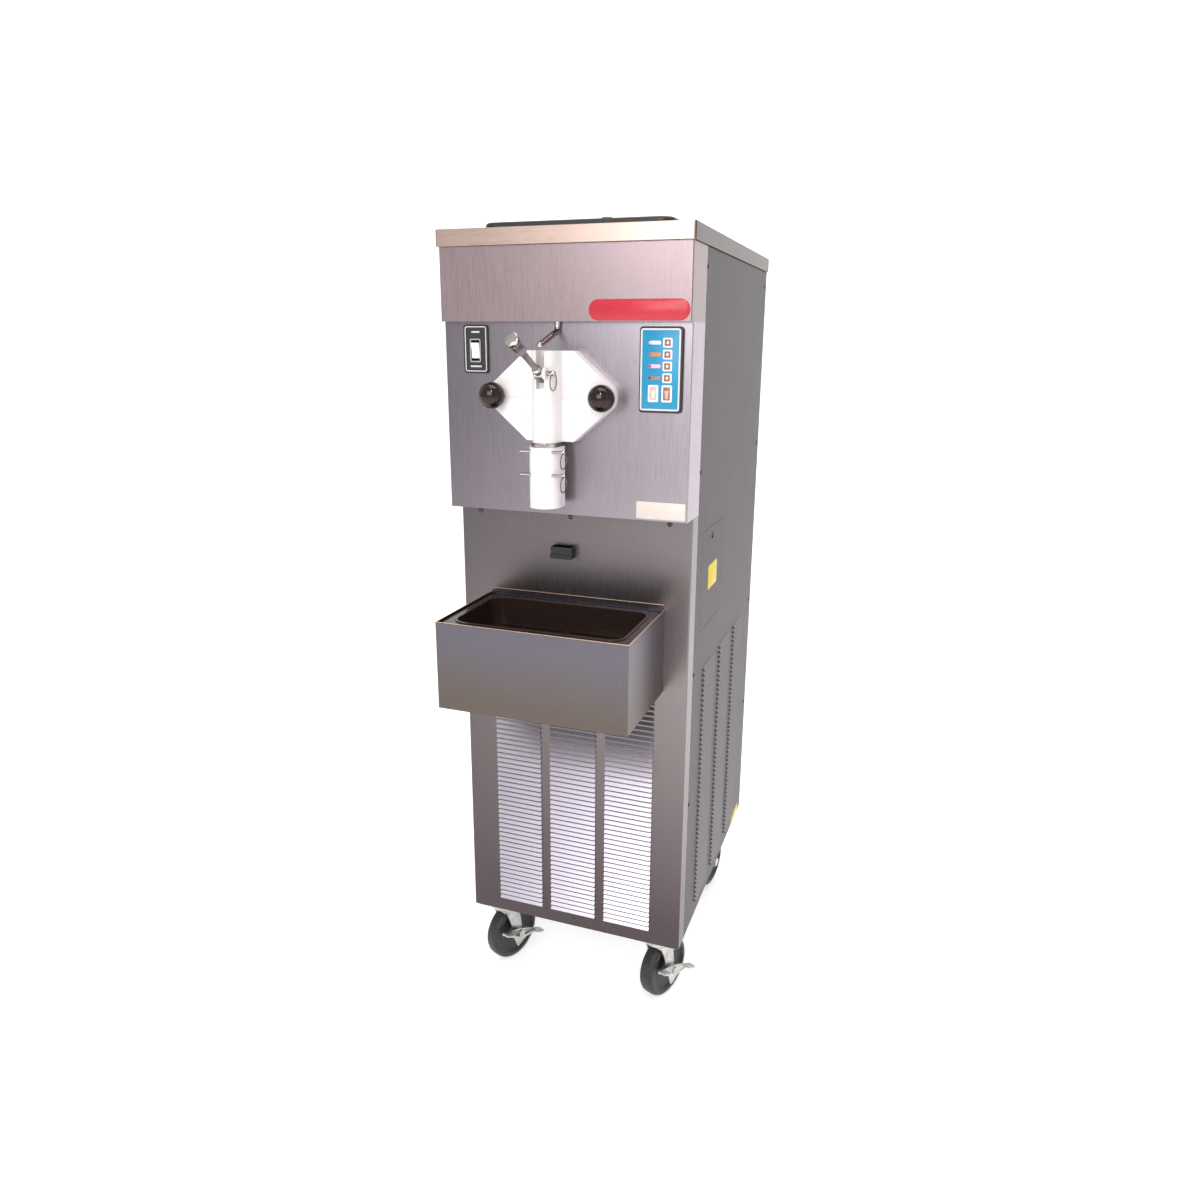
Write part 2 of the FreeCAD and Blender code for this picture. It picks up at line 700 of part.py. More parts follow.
def pulley(x, z, r, shaft_r, shaft_front):
    y = pulley_front
    groove = BELT_W / 2 + GAP
    middle = PULLEY_W / 2
    flange = r + BELT_T
    profile = [
        (0, 0), (flange, 0), (flange, middle - groove - 1), (r, middle - groove), (r, middle + groove),
        (flange, middle + groove + 1), (flange, PULLEY_W), (0, PULLEY_W)]
    wheel = spun(profile, x, y, z, (0, 1, 0))
    shaft = drum(x, shaft_front, z, (0, 1, 0), shaft_r, y - shaft_front + 4)
    wheel = joined([wheel, shaft])
    for i in range(4):
        a = math.radians(45 + 90 * i)
        hole_r = r * 0.2
        px = x + math.cos(a) * r * 0.62
        pz = z + math.sin(a) * r * 0.62
        wheel = wheel.cut(drum(px, y - 1, pz, (0, 1, 0), hole_r, PULLEY_W + 2))
    return wheel


def belt_loop(grow, y0, y1):
    """The filled shape that wraps both pulleys, with radii grown by grow."""
    r1 = BIG_PULLEY_R + grow
    r2 = SMALL_PULLEY_R + grow
    dx = motor_x - HEAD_X
    dz = motor_z - head_z
    gap = math.hypot(dx, dz)
    lean = math.atan2(dz, dx)
    open_angle = math.acos((r1 - r2) / gap)
    corners = []
    for x, z, r, sign in ((HEAD_X, head_z, r1, 1), (motor_x, motor_z, r2, 1),
                          (motor_x, motor_z, r2, -1), (HEAD_X, head_z, r1, -1)):
        a = lean + sign * open_angle
        corners.append((x + r * math.cos(a), y0, z + r * math.sin(a)))
    straight = prism(corners, (0, y1 - y0, 0))
    return joined([straight, drum(HEAD_X, y0, head_z, (0, 1, 0), r1, y1 - y0),
                   drum(motor_x, y0, motor_z, (0, 1, 0), r2, y1 - y0)])


def drive_belt():
    middle = (pulley_front + pulley_rear) / 2
    y0 = middle - BELT_W / 2
    y1 = middle + BELT_W / 2
    return belt_loop(GAP + BELT_T - 1, y0, y1).cut(belt_loop(GAP, y0 - 1, y1 + 1))


def drive_motor():
    y0 = motor_rear - MOTOR_L
    body = drum(motor_x, y0, motor_z, (0, 1, 0), MOTOR_R, MOTOR_L)
    ribs = []
    for i in range(8):
        ribs.append(pipe_ring(motor_x, y0 + 30 + i * 18, motor_z, (0, 1, 0), MOTOR_R + 1, MOTOR_R - 3, 8))
    body = body.cut(Part.makeCompound(ribs))
    foot = block(motor_x - 50, motor_x + 50, y0 + 20, motor_rear - 10, shelf_z, motor_z - 40)
    body = joined([body, foot])
    return body.cut(drum(motor_x, motor_rear - 30, motor_z, (0, 1, 0), MOTOR_SHAFT_R + FIT, 40))


# ---- refrigeration ----
def condenser():
    x = half_w - CONDENSER_IN
    z0 = floor_z + CONDENSER_UP
    z1 = z0 + CONDENSER_H
    y1 = CONDENSER_Y + CONDENSER_D
    core = block(-x + 3, x - 3, CONDENSER_Y, y1, z0, z1)
    ends = [block(end, end + 3, CONDENSER_Y - 4, y1, floor_z, z1 + 6) for end in (-x, x - 3)]
    bends = []
    count = 6
    for i in range(count):
        z = z0 + 30 + i * (CONDENSER_H - 60) / (count - 1)
        bends.append(drum(-x - 10, CONDENSER_Y + 16, z, (1, 0, 0), 5, 2 * x + 20))
        bends.append(drum(-x - 10, y1 - 16, z, (1, 0, 0), 5, 2 * x + 20))
    coil = joined([core] + ends + bends)
    # the fan shroud and the motor that it carries
    box = block(-x, x, y1, y1 + SHROUD_D, z0, z1)
    inside = block(-x + 1.5, x - 1.5, y1 - 1, y1 + SHROUD_D - 1.5, z0 + 1.5, z1 - 1.5)
    shroud = box.cut(inside).cut(drum(0, y1, fan_z, (0, 1, 0), FAN_R + 8, SHROUD_D + 5))
    shroud = shroud.cut(block(-x + 1.5, x - 1.5, y1 - 1, y1 + 5, z0 + 1.5, z1 - 1.5))
    back = y1 + SHROUD_D
    arms = [block(-x, x, back, back + 4, fan_z + dz - 6, fan_z + dz + 6) for dz in (-24, 24)]
    motor = drum(0, back, fan_z, (0, 1, 0), FAN_MOTOR_R, FAN_MOTOR_L)
    motor = joined([motor] + arms).cut(drum(0, back - 1, fan_z, (0, 1, 0), 4 + FIT, 30))
    return Part.makeCompound([coil, shroud, motor])


def condenser_fan():
    depth = FAN_D
    hub = drum(0, fan_y, fan_z, (0, 1, 0), FAN_HUB_R, depth)
    back = CONDENSER_Y + CONDENSER_D + SHROUD_D
    shaft = drum(0, fan_y, fan_z, (0, 1, 0), 4, back + 24 - fan_y)
    blades = []
    for i in range(FAN_BLADES):
        blade = block(-1.2, 1.2, -36, 36, FAN_HUB_R - 6, FAN_R)
        blade.rotate(V(0, 0, 0), V(0, 0, 1), 62)
        blade = blade.common(block(-200, 200, -depth / 2 + 1, depth / 2 - 1, 0, FAN_R))
        blade.rotate(V(0, 0, 0), V(0, 1, 0), i * 360.0 / FAN_BLADES)
        blades.append(moved(blade, 0, fan_y + depth / 2, fan_z))
    return joined([hub, shaft] + blades)


compressor_x = 70.0
compressor_y = CABINET_D - 170.0
receiver_x = -120.0
receiver_y = CABINET_D - 190.0


def compressor():
    """A welded shell with a weld band, on a base plate with rubber feet, and its terminal box."""
    r = COMPRESSOR_R
    low = floor_z + 14
    shell = drum(compressor_x, compressor_y, low, (0, 0, 1), r, COMPRESSOR_H - 14)
    top = [e for e in shell.Edges if abs(e.BoundBox.ZMin - floor_z - COMPRESSOR_H) < 1e-6]
    shell = shell.makeFillet(r / 2, top)
    band = drum(compressor_x, compressor_y, low + COMPRESSOR_H * 0.42, (0, 0, 1), r + 3, 12)
    x, y = compressor_x, compressor_y
    plate = block(x - r, x + r, y - r * 0.8, y + r * 0.8, floor_z + 9, low)
    box_low = low + 60
    box = block(x - r - 14, x, y - 30, y + 30, box_low, box_low + 32)
    feet = []
    for sx in (-1, 1):
        for sy in (-1, 1):
            feet.append(drum(x + sx * (r - 12), y + sy * (r * 0.8 - 12), floor_z, (0, 0, 1), 9, 9))
    return joined([shell, band, plate, box] + feet)


def refrigerant_lines():
    r = RECEIVER_R
    h = RECEIVER_H
    shell = [(0, 0), (r * 0.7, 0), (r, 16), (r, h - 16), (r * 0.6, h), (0, h)]
    receiver = spun(shell, receiver_x, receiver_y, floor_z)
    x = half_w - CONDENSER_IN + 10
    coil_top = floor_z + CONDENSER_UP + CONDENSER_H - 30
    coil_low = floor_z + CONDENSER_UP + 30
    coil_y = CONDENSER_Y + CONDENSER_D - 16
    hot = bent_tube([
        (compressor_x, compressor_y, floor_z + COMPRESSOR_H), (compressor_x, compressor_y, coil_top),
        (x + 15, compressor_y, coil_top), (x + 15, coil_y, coil_top), (x, coil_y, coil_top)], LINE_R, 12)
    liquid = bent_tube([
        (-x, coil_y, coil_low), (-x - 18, coil_y, coil_low), (-x - 18, receiver_y, coil_low),
        (receiver_x - r, receiver_y, coil_low)], LINE_R, 12)
    top = floor_z + RECEIVER_H
    feed = bent_tube([
        (receiver_x, receiver_y, top), (receiver_x, receiver_y, head_z - 10),
        (receiver_x, cylinder_rear - 60, head_z - 10),
        (HEAD_X - CYL_R, cylinder_rear - 60, head_z - 10)], LINE_R, 20)
    back_x = compressor_x - 26
    back_y = compressor_y + 20
    suction = bent_tube([
        (back_x, back_y, floor_z + COMPRESSOR_H), (back_x, back_y, shelf_z - 80),
        (receiver_x + 24, back_y, shelf_z - 80), (receiver_x + 24, back_y, head_z + 20),
        (receiver_x + 24, cylinder_rear - 30, head_z + 20),
        (HEAD_X - CYL_R, cylinder_rear - 30, head_z + 20)], LINE_R + 2, 20)
    # both evaporator lines end on the insulated cylinder
    jacket = drum(HEAD_X, cylinder_front, head_z, (0, 1, 0), JACKET_R, CYL_L)
    return Part.makeCompound([receiver, hot, liquid, feed.cut(jacket), suction.cut(jacket)])


# ---- dispensing head ----
def plate_outline():
    """Half widths of the head plate: the flat edge and the sharp side corner."""
    flat = PLATE_TOP / 2
    tip = PLATE_W / 2
    h = PLATE_H / 2
    return [(-flat, h), (flat, h), (tip, 0), (flat, -h), (-flat, -h), (-tip, 0)]


def front_plate():
    y = plate_y
    plate = prism([(HEAD_X + px, y, head_z + pz) for px, pz in plate_outline()], (0, PLATE_T, 0))
    tips = []
    others = []
    for e in plate.Edges:
        d = e.Vertexes[-1].Point - e.Vertexes[0].Point
        if abs(abs(d.y) - d.Length) < 1e-6:
            at_tip = abs(e.Vertexes[0].Z - head_z) < 1
            (tips if at_tip else others).append(e)
    plate = plate.makeFillet(PLATE_R, tips)
    # the half-round boss that holds the draw valve
    boss = block(HEAD_X - BOSS_R, HEAD_X + BOSS_R, bore_y, y + 2, plate_low, plate_high)
    nose = drum(HEAD_X, bore_y, plate_low, (0, 0, 1), BOSS_R, PLATE_H)
    lugs = []
    lug_in = LEVER_R + 2.3
    for side in (-1, 1):
        x0, x1 = sorted((HEAD_X + side * lug_in, HEAD_X + side * (lug_in + 5.5)))
        lugs.append(drum(x0, pivot_y, pivot_z, (1, 0, 0), 10, x1 - x0))
        lugs.append(block(x0, x1, pivot_y, bore_y, pivot_z - 10, pivot_z + 10))
    nozzle = drum(HEAD_X, bore_y, plate_low - NOZZLE_L, (0, 0, 1), NOZZLE_R, NOZZLE_L + 5)
    head = joined([plate, boss, nose, nozzle] + lugs)
    bore_l = PLATE_H + NOZZLE_L + 2
    head = head.cut(drum(HEAD_X, bore_y, plate_low - NOZZLE_L - 1, (0, 0, 1), BORE_R, bore_l))
    # product port from the cylinder, and the slot for the handle
    head = head.cut(drum(HEAD_X, bore_y, plate_low + 22, (0, 1, 0), 11, 60))
    x0, x1 = HEAD_X - lug_in, HEAD_X + lug_in
    head = head.cut(block(x0, x1, pivot_y - 20, bore_y, pivot_z - 26, plate_high + 1))
    head = head.cut(drum(HEAD_X - 20, pivot_y, pivot_z, (1, 0, 0), PIN_R, 40))
    for side in (-1, 1):
        x = HEAD_X + side * STUD_SPAN / 2
        head = head.cut(drum(x, y - 1, head_z, (0, 1, 0), STUD_R + 0.5, PLATE_T + 2))
    # the shallow parting groove across the plate
    groove = STUD_SPAN / 2 - 16
    for x0, x1 in ((HEAD_X - groove, HEAD_X - BOSS_R), (HEAD_X + BOSS_R, HEAD_X + groove)):
        head = head.cut(block(x0, x1, y - 1, y + 0.8, head_z - 3.5, head_z - 2.3))
    # a small hooked groove, upper left, that shows which way up it goes
    hook = block(HEAD_X - 69, HEAD_X - 58, y - 1, y + 1.2, head_z + 38, head_z + 46)
    head = head.cut(hook.cut(block(HEAD_X - 66, HEAD_X - 57, y - 2, y + 2, head_z + 40.4, head_z + 43.6)))
    pin_y = bore_y - CROSS_PIN_OUT
    for drop in CROSS_PIN_DROP:
        head = head.cut(drum(HEAD_X - 40, pin_y, plate_low - drop, (1, 0, 0), CROSS_PIN_R + FIT, 80))
    return head


def head_studs():
    studs = []
    for side in (-1, 1):
        x = HEAD_X + side * STUD_SPAN / 2
        # from 14 mm in front of the plate to the rear of the ears behind the panel
        studs.append(drum(x, plate_y - 14, head_z, (0, 1, 0), STUD_R, 14 + PLATE_T + SHEET + 6))
    return Part.makeCompound(studs)


def spout_collar():
    ring = block(HEAD_X - BOSS_R - 2, HEAD_X + BOSS_R + 2, bore_y, plate_y, collar_low, plate_low)
    nose = drum(HEAD_X, bore_y, collar_low, (0, 0, 1), BOSS_R + 2, COLLAR_H)
    return joined([ring, nose]).cut(drum(HEAD_X, bore_y, collar_low - 1, (0, 0, 1), NOZZLE_R, COLLAR_H + 2))


def ball_knob(side):
    x = HEAD_X + side * STUD_SPAN / 2
    centre = plate_y - BALL_R + 4.3
    ball = Part.makeSphere(BALL_R, V(x, centre, head_z))
    ball = ball.cut(block(x - 50, x + 50, plate_y - GAP, plate_y + 50, head_z - 50, head_z + 50))
    return ball.cut(drum(x, plate_y - 16, head_z, (0, 1, 0), STUD_R + FIT, 20))


def tail_ball():
    a = math.radians(TAIL_TILT)
    return pivot_y + TAIL_L * math.cos(a), pivot_z - TAIL_L * math.sin(a)


def plunger():
    low = collar_low - 2
    high = pivot_z + 8
    body = drum(HEAD_X, bore_y, low, (0, 0, 1), BORE_R - FIT, high - low)
    ball_y, ball_z = tail_ball()
    w = TAIL_R + GAP + 0.6
    h = TAIL_R + GAP
    flare_y = ball_y - 4
    body = body.cut(block(HEAD_X - w, HEAD_X + w, flare_y, bore_y + 6, ball_z - h, ball_z + h))
    return body.cut(block(HEAD_X - w, HEAD_X + w, bore_y - 20, flare_y, ball_z - 2 * h, ball_z + 2 * h))


def draw_handle():
    a = math.radians(LEVER_TILT)
    out = V(0, -math.cos(a), math.sin(a))
    pivot = V(HEAD_X, pivot_y, pivot_z)
    hub_w = LEVER_R + 2.3 - GAP
    hub = drum(HEAD_X - hub_w, pivot_y, pivot_z, (1, 0, 0), 9, 2 * hub_w)
    neck = LEVER_L - GRIP_L
    arm = Part.makeCylinder(LEVER_R, neck, pivot, out)
    shoulder = Part.makeCone(LEVER_R, GRIP_R - 2, 8, pivot + out * (neck - 8), out)
    grip = Part.makeCylinder(GRIP_R, GRIP_L, pivot + out * neck, out)
    grip = grip.makeChamfer(1.6, [e for e in grip.Edges if e.Curve.TypeId == "Part::GeomCircle"])
    ball_y, ball_z = tail_ball()
    back = V(0, ball_y - pivot_y, ball_z - pivot_z)
    tail = Part.makeCylinder(TAIL_R / 2, TAIL_L, pivot, back)
    ball = Part.makeSphere(TAIL_R, V(HEAD_X, ball_y, ball_z))
    lever = joined([hub, arm, shoulder, grip, tail, ball])
    return lever.cut(drum(HEAD_X - 30, pivot_y, pivot_z, (1, 0, 0), PIN_R + FIT, 60))


def wire_ring(x, y, z):
    """A split ring that hangs in the Y-Z plane from the point given."""
    return Part.makeTorus(RING_R, RING_WIRE, V(x, y, z - RING_R), V(1, 0, 0))


def handle_pin():
    left = HEAD_X - 15.5
    right = HEAD_X + BOSS_R + RING_WIRE + 1.5
    pin = drum(left, pivot_y, pivot_z, (1, 0, 0), PIN_R, right - left)
    eye = Part.makeSphere(PIN_R + 0.8, V(right, pivot_y, pivot_z))
    return joined([pin, eye, wire_ring(right, pivot_y, pivot_z)])


def spout_shroud():
    body = block(HEAD_X - SHROUD_R, HEAD_X + SHROUD_R, bore_y, plate_y, shroud_low, collar_low)
    nose = drum(HEAD_X, bore_y, shroud_low, (0, 0, 1), SHROUD_R, SHROUD_H)
    body = joined([body, nose])
    body = body.cut(drum(HEAD_X, bore_y, shroud_low - 1, (0, 0, 1), SHROUD_BORE, SHROUD_H + 2))
    y = bore_y - CROSS_PIN_OUT
    for drop in CROSS_PIN_DROP:
        body = body.cut(drum(HEAD_X - 60, y, plate_low - drop, (1, 0, 0), CROSS_PIN_R + FIT, 120))
    return body


def cross_pin(drop):
    y = bore_y - CROSS_PIN_OUT
    z = plate_low - drop
    x = HEAD_X - CROSS_PIN_L / 2
    pin = drum(x, y, z, (1, 0, 0), CROSS_PIN_R, CROSS_PIN_L)
    eye = Part.makeSphere(CROSS_PIN_R + 0.8, V(x + CROSS_PIN_L, y, z))
    return joined([pin, eye, wire_ring(x + CROSS_PIN_L, y, z)])


def switch_arm():
    """A bent rod whose stem turns in the header's floor, with a tab that works the switch inside."""
    end = (arm_x, arm_y - ARM_REACH, arm_bend_z - ARM_FALL)
    path = [(arm_x, arm_y, header_z + ARM_STEM_UP), (arm_x, arm_y, arm_bend_z), end]
    rod = bent_tube(path, ARM_R, ARM_BEND)
    low = header_z + SHEET + GAP
    tab = block(arm_x - ARM_R / 2, arm_x + ARM_R / 2, arm_y, arm_y + ARM_TAB, low, low + ARM_R)
    return joined([rod, Part.makeSphere(ARM_R, V(*end)), tab])


# ---- power switch and keypad ----
def switch_plate():
    y = switch_y
    plate = block(switch_left, switch_left + SWITCH_W, y, -FRONT_OUT, switch_top - SWITCH_H, switch_top)
    plate = rounded(plate, 5, 1)
    w = ROCKER_W / 2
    h = ROCKER_H / 2
    rim_w = w + 2.5
    rim_h = h + 4.5
    rim = block(switch_x - rim_w, switch_x + rim_w, y - 1.5, y + 12, rocker_z - rim_h, rocker_z + rim_h)
    plate = joined([plate, rim])
    w += GAP
    h += 2.5
    return plate.cut(block(switch_x - w, switch_x + w, y - 5, y + 30, rocker_z - h, rocker_z + h))


def power_rocker():
    w = ROCKER_W / 2
    h = ROCKER_H / 2
    y = switch_y
    side = [(-w, y + 8, -h + 2), (-w, y - 0.4, -h), (-w, y - 1.2, 0), (-w, y - 4.5, h), (-w, y + 8, h - 4)]
    outline = [(switch_x + px, py, rocker_z + pz) for px, py, pz in side]
    # the moulding rocks on a small pin through its middle
    pin = drum(switch_x - w - 1, y + 4, rocker_z, (1, 0, 0), 1.5, ROCKER_W + 2)
    return prism(outline, (ROCKER_W, 0, 0)).cut(pin)


def key_places():
    """Name, centre x, centre z, width and height of each key."""
    x = keypad_right - 26.2
    z = keypad_top - 25.8
    keys = [("flavour_button_%d" % (i + 1), x, z - i * BUTTON_PITCH, BUTTON_W, BUTTON_H) for i in range(4)]
    serve_z = keypad_top - 108.3
    keys.append(("serve_button_left", keypad_left + 25.3, serve_z, SERVE_W, SERVE_H))
    keys.append(("serve_button_right", keypad_right - 26.2, serve_z, SERVE_W, SERVE_H))
    return keys


def control_panel():
    y = keypad_y
    low = keypad_top - KEYPAD_H
    bezel = rounded(block(keypad_left, keypad_right, y, -FRONT_OUT, low, keypad_top), 6, 1)
    edge = 4.4
    box = block(keypad_left + edge, keypad_right - edge, -FRONT_OUT, KEYPAD_BOX_D - FRONT_OUT,
                low + edge, keypad_top - edge)
    body = joined([bezel, box])
    for name, x, z, w, h in key_places():
        half = w / 2 + GAP
        high = h / 2 + GAP
        body = body.cut(block(x - half, x + half, y - 1, y + 9, z - high, z + high))
    return body


def key(x, z, w, h):
    y = keypad_y - BUTTON_OUT
    cap = rounded(block(x - w / 2, x + w / 2, y, keypad_y + 5, z - h / 2, z + h / 2), 2, 1)
    front = [e for e in cap.Edges if abs(e.BoundBox.YMax - y) < 1e-6]
    return cap.makeFillet(0.5, front)


# ---- drip box and drawer ----
def drip_box():
    x0 = DRIP_X - DRIP_W / 2
    x1 = DRIP_X + DRIP_W / 2
    t = DRIP_T
    y0 = -DRIP_OUT
    outer = block(x0, x1, y0, 0, drip_low, drip_top)
    inner = block(x0 + t, x1 - t, y0 + t, -t, drip_low + t, drip_top + 1)
    hanger = block(x0, x1, -t, 0, drip_low, drip_top + HANGER_H)
    ledge_z = pan_top - PAN_SKIRT - 2
    ledge = block(x0 + t, x1 - t, y0 + t, -t, ledge_z, ledge_z + 2)
    e = t + LEDGE
    ledge = ledge.cut(block(x0 + e, x1 - e, y0 + e, -e, ledge_z - 1, ledge_z + 3))
    return joined([outer.cut(inner), hanger, ledge])


def drip_pan():
    """A flange with a turned-down skirt that stands on the box's ledge, round a deep well."""
    inset = DRIP_T + PAN_GAP
    x0 = DRIP_X - DRIP_W / 2 + inset
    x1 = DRIP_X + DRIP_W / 2 - inset
    y0 = -DRIP_OUT + inset
    y1 = -inset
    t = PAN_T
    skirt_low = pan_top - PAN_SKIRT + GAP
    flange = rounded(block(x0, x1, y0, y1, skirt_low, pan_top), PAN_CORNER, 2)
    under = block(x0 + t, x1 - t, y0 + t, y1 - t, skirt_low - 1, pan_top - t)
    flange = flange.cut(rounded(under, PAN_CORNER - t, 2))
    e = PAN_EDGE
    well = rounded(block(x0 + e, x1 - e, y0 + e, y1 - e, pan_low, pan_top), PAN_R, 2)
    b = e - PAN_BEAD
    bead_top = pan_top + PAN_BEAD_H
    bead = rounded(block(x0 + b, x1 - b, y0 + b, y1 - b, pan_top, bead_top), PAN_R + PAN_BEAD, 2)
    e += t
    hollow = rounded(block(x0 + e, x1 - e, y0 + e, y1 - e, pan_low + t, bead_top + 1), PAN_R - t, 2)
    return joined([flange, well, bead]).cut(hollow)


def drip_grid():
    inset = DRIP_T + PAN_GAP + PAN_EDGE + PAN_T + 1.0
    x0 = DRIP_X - DRIP_W / 2 + inset
    x1 = DRIP_X + DRIP_W / 2 - inset
    y0 = -DRIP_OUT + inset
    y1 = -inset
    z = pan_low + PAN_T + GRID_UP
    plate = rounded(block(x0, x1, y0, y1, z, z + GRID_T), PAN_R - PAN_T - 1, 2)
    slots = []
    pitch = (y1 - y0 - 24) / GRID_SLOTS
    for i in range(GRID_SLOTS):
        y = y0 + 12 + i * pitch
        for a, b in ((x0 + 24, -8 + DRIP_X), (DRIP_X + 8, x1 - 24)):
            slots.append(block(a, b, y, y + pitch * 0.55, z - 1, z + GRID_T + 1))
    plate = plate.cut(Part.makeCompound(slots))
    feet = []
    for x in (x0 + 14, x1 - 14):
        for y in (y0 + 14, y1 - 14):
            feet.append(drum(x, y, pan_low + PAN_T + GAP, (0, 0, 1), 4, GRID_UP))
    return joined([plate] + feet)


def drip_drawer():
    x0 = HEAD_X - DRAWER_W / 2
    x1 = HEAD_X + DRAWER_W / 2
    t = DRAWER_T
    y1 = DRAWER_L - DRAWER_OUT
    outer = block(x0, x1, -DRAWER_OUT, y1, drawer_low, drawer_top)
    inner = block(x0 + t, x1 - t, -DRAWER_OUT + t, y1 - t, drawer_low + t, drawer_top + 1)
    lip = block(x0, x1, -DRAWER_OUT - 3, -DRAWER_OUT, drawer_low, drawer_low + 8)
    return joined([outer.cut(inner), lip])


# ---- casters, made pointing along +X and then turned and set in place ----
def set_caster(shape, place):
    x, y, yaw = place
    shape.rotate(V(0, 0, 0), V(0, 0, 1), yaw)
    shape.translate(V(x, y, 0))
    return shape


def caster_fork():
    top = base_z - PLATE_Z - GAP
    race = spun([(0, 0), (30, 0), (34, 4), (34, 9), (28, 13), (0, 13)], 0, 0, top - 13)
    pin = drum(0, 0, top - 5, (0, 0, 1), AXLE_R, PLATE_Z + 5)
    y_in = WHEEL_W / 2 + FORK_GAP
    y_out = y_in + FORK_T
    crown = block(-24, 24, -y_out, y_out, top - 16, top - 12)
    shoulder = top - 13
    outline = [(-22, shoulder), (22, shoulder), (20, shoulder - 22), (TRAIL + 12, axle_z),
               (TRAIL + 8, axle_z - 10), (TRAIL, axle_z - 13), (TRAIL - 8, axle_z - 10),
               (TRAIL - 12, axle_z), (-12, shoulder - 22)]
    legs = [prism([(x, y, z) for x, z in outline], (0, FORK_T, 0)) for y in (-y_out, y_in)]
    y_end = y_out + AXLE_NUT
    axle = drum(TRAIL, -y_end, axle_z, (0, 1, 0), AXLE_R, 2 * y_end)
    nuts = [drum(TRAIL, y, axle_z, (0, 1, 0), 10, AXLE_NUT) for y in (-y_end, y_out)]
    return joined([race, pin, crown, axle] + legs + nuts)


def caster_wheel():
    w = WHEEL_W / 2
    r = WHEEL_R
    half = [(r, w - 8), (r - 1, w - 4), (r - 4, w), (r * 0.74, w - 1), (r * 0.66, w - 5), (18, w - 5),
            (16, w + 1), (AXLE_R + FIT, w + 1)]
    profile = [(radius, -y) for radius, y in reversed(half)] + half
    return spun(profile, TRAIL, 0, axle_z, (0, 1, 0))


def caster_brake():
    """The foot brake: a pointed plate on the end of the axle, with a pad turned out at each tip."""
    y = -(WHEEL_W / 2 + FORK_GAP + FORK_T + AXLE_NUT + GAP)
    t = 3.0
    r = PEDAL_REACH
    half = [(0, -30), (10, -20), (20, -9), (r - PAD_W, -5), (r, 1)]
    rim = half + [(r, 6), (r - PAD_W, 8), (14, 11)]
    rim += [(-px, pz) for px, pz in reversed(rim[1:])]
    wing = prism([(TRAIL + px, y, axle_z + pz) for px, pz in rim], (0, -t, 0))
    pads = []
    for side in (-1, 1):
        x0, x1 = sorted((TRAIL + side * r, TRAIL + side * (r - PAD_W)))
        pads.append(rounded(block(x0, x1, y - PAD_OUT, y, axle_z + 3, axle_z + 6), 4, 2))
    boss = drum(TRAIL, y - 6, axle_z, (0, 1, 0), 8, 6)
    brake = joined([wing, boss] + pads)
    brake.rotate(V(TRAIL, 0, axle_z), V(0, 1, 0), PEDAL_TILT)
    return brake


# ---- fasteners, gland and badges ----
def screw(x, y, z, axis):
    r = SCREW_R
    h = SCREW_H
    return spun([(0, 0), (r, 0), (r * 0.8, h * 0.7), (r * 0.45, h), (0, h)], x, y, z, axis)


def panel_screws():
    solids = []
    for drop in (33, 383, 770, 1043):
        z = cabinet_top - drop
        for side in (-1, 1):
            solids.append(screw(side * half_w, POST + 7, z, (side, 0, 0)))
            solids.append(screw(side * half_w, rear_y - 14, z, (side, 0, 0)))
    for x in (-half_w + 40, -4, half_w - 42):
        solids.append(screw(x, 0, front_z - 12, (0, -1, 0)))
    solids.append(screw(2, 0, base_z + 15, (0, -1, 0)))
    for side in (-1, 1):
        x = switch_x + side * (ROCKER_W / 2 + 6.1)
        solids.append(drum(x, switch_y, rocker_z, (0, -1, 0), 2, 0.8))
    for x in (-half_w + 30, half_w - 30):
        for z in (base_z + 60, cabinet_top - 60):
            solids.append(screw(x, rear_y, z, (0, 1, 0)))
    return Part.makeCompound(solids)


def cord_gland():
    body = drum(gland_x, rear_y, gland_z, (0, 1, 0), GLAND_R, 3)
    neck = drum(gland_x, rear_y - 10, gland_z, (0, 1, 0), GLAND_R - 4, 10)
    h = GLAND_L - 13
    profile = [(0, 0), (GLAND_R - 2, 0), (GLAND_R - 5, h), (0, h)]
    dome = spun(profile, gland_x, rear_y + 3, gland_z, (0, 1, 0))
    bore = drum(gland_x, rear_y - 11, gland_z, (0, 1, 0), GLAND_BORE_R, GLAND_L + 2)
    return joined([body, neck, dome]).cut(bore)


def badges():
    right = half_w - 3.2
    low = header_z + 1.6
    y = -HEADER_OUT
    pill = rounded(block(right - BADGE_W, right, y - BADGE_T, y, low, low + BADGE_H), BADGE_H / 2 - 0.01, 1)
    notice = block(right - 89, right - 1, -FRONT_OUT - LABEL_T, -FRONT_OUT, front_z + 3, front_z + 33)
    x = half_w
    side = block(x, x + LABEL_T, access_y + 58, access_y + 133, access_low + 72, access_low + 120)
    low_side = block(x, x + LABEL_T, rear_y - 112, rear_y - 30, base_z + 3, base_z + 22)
    return Part.makeCompound([pill, notice, side, low_side])


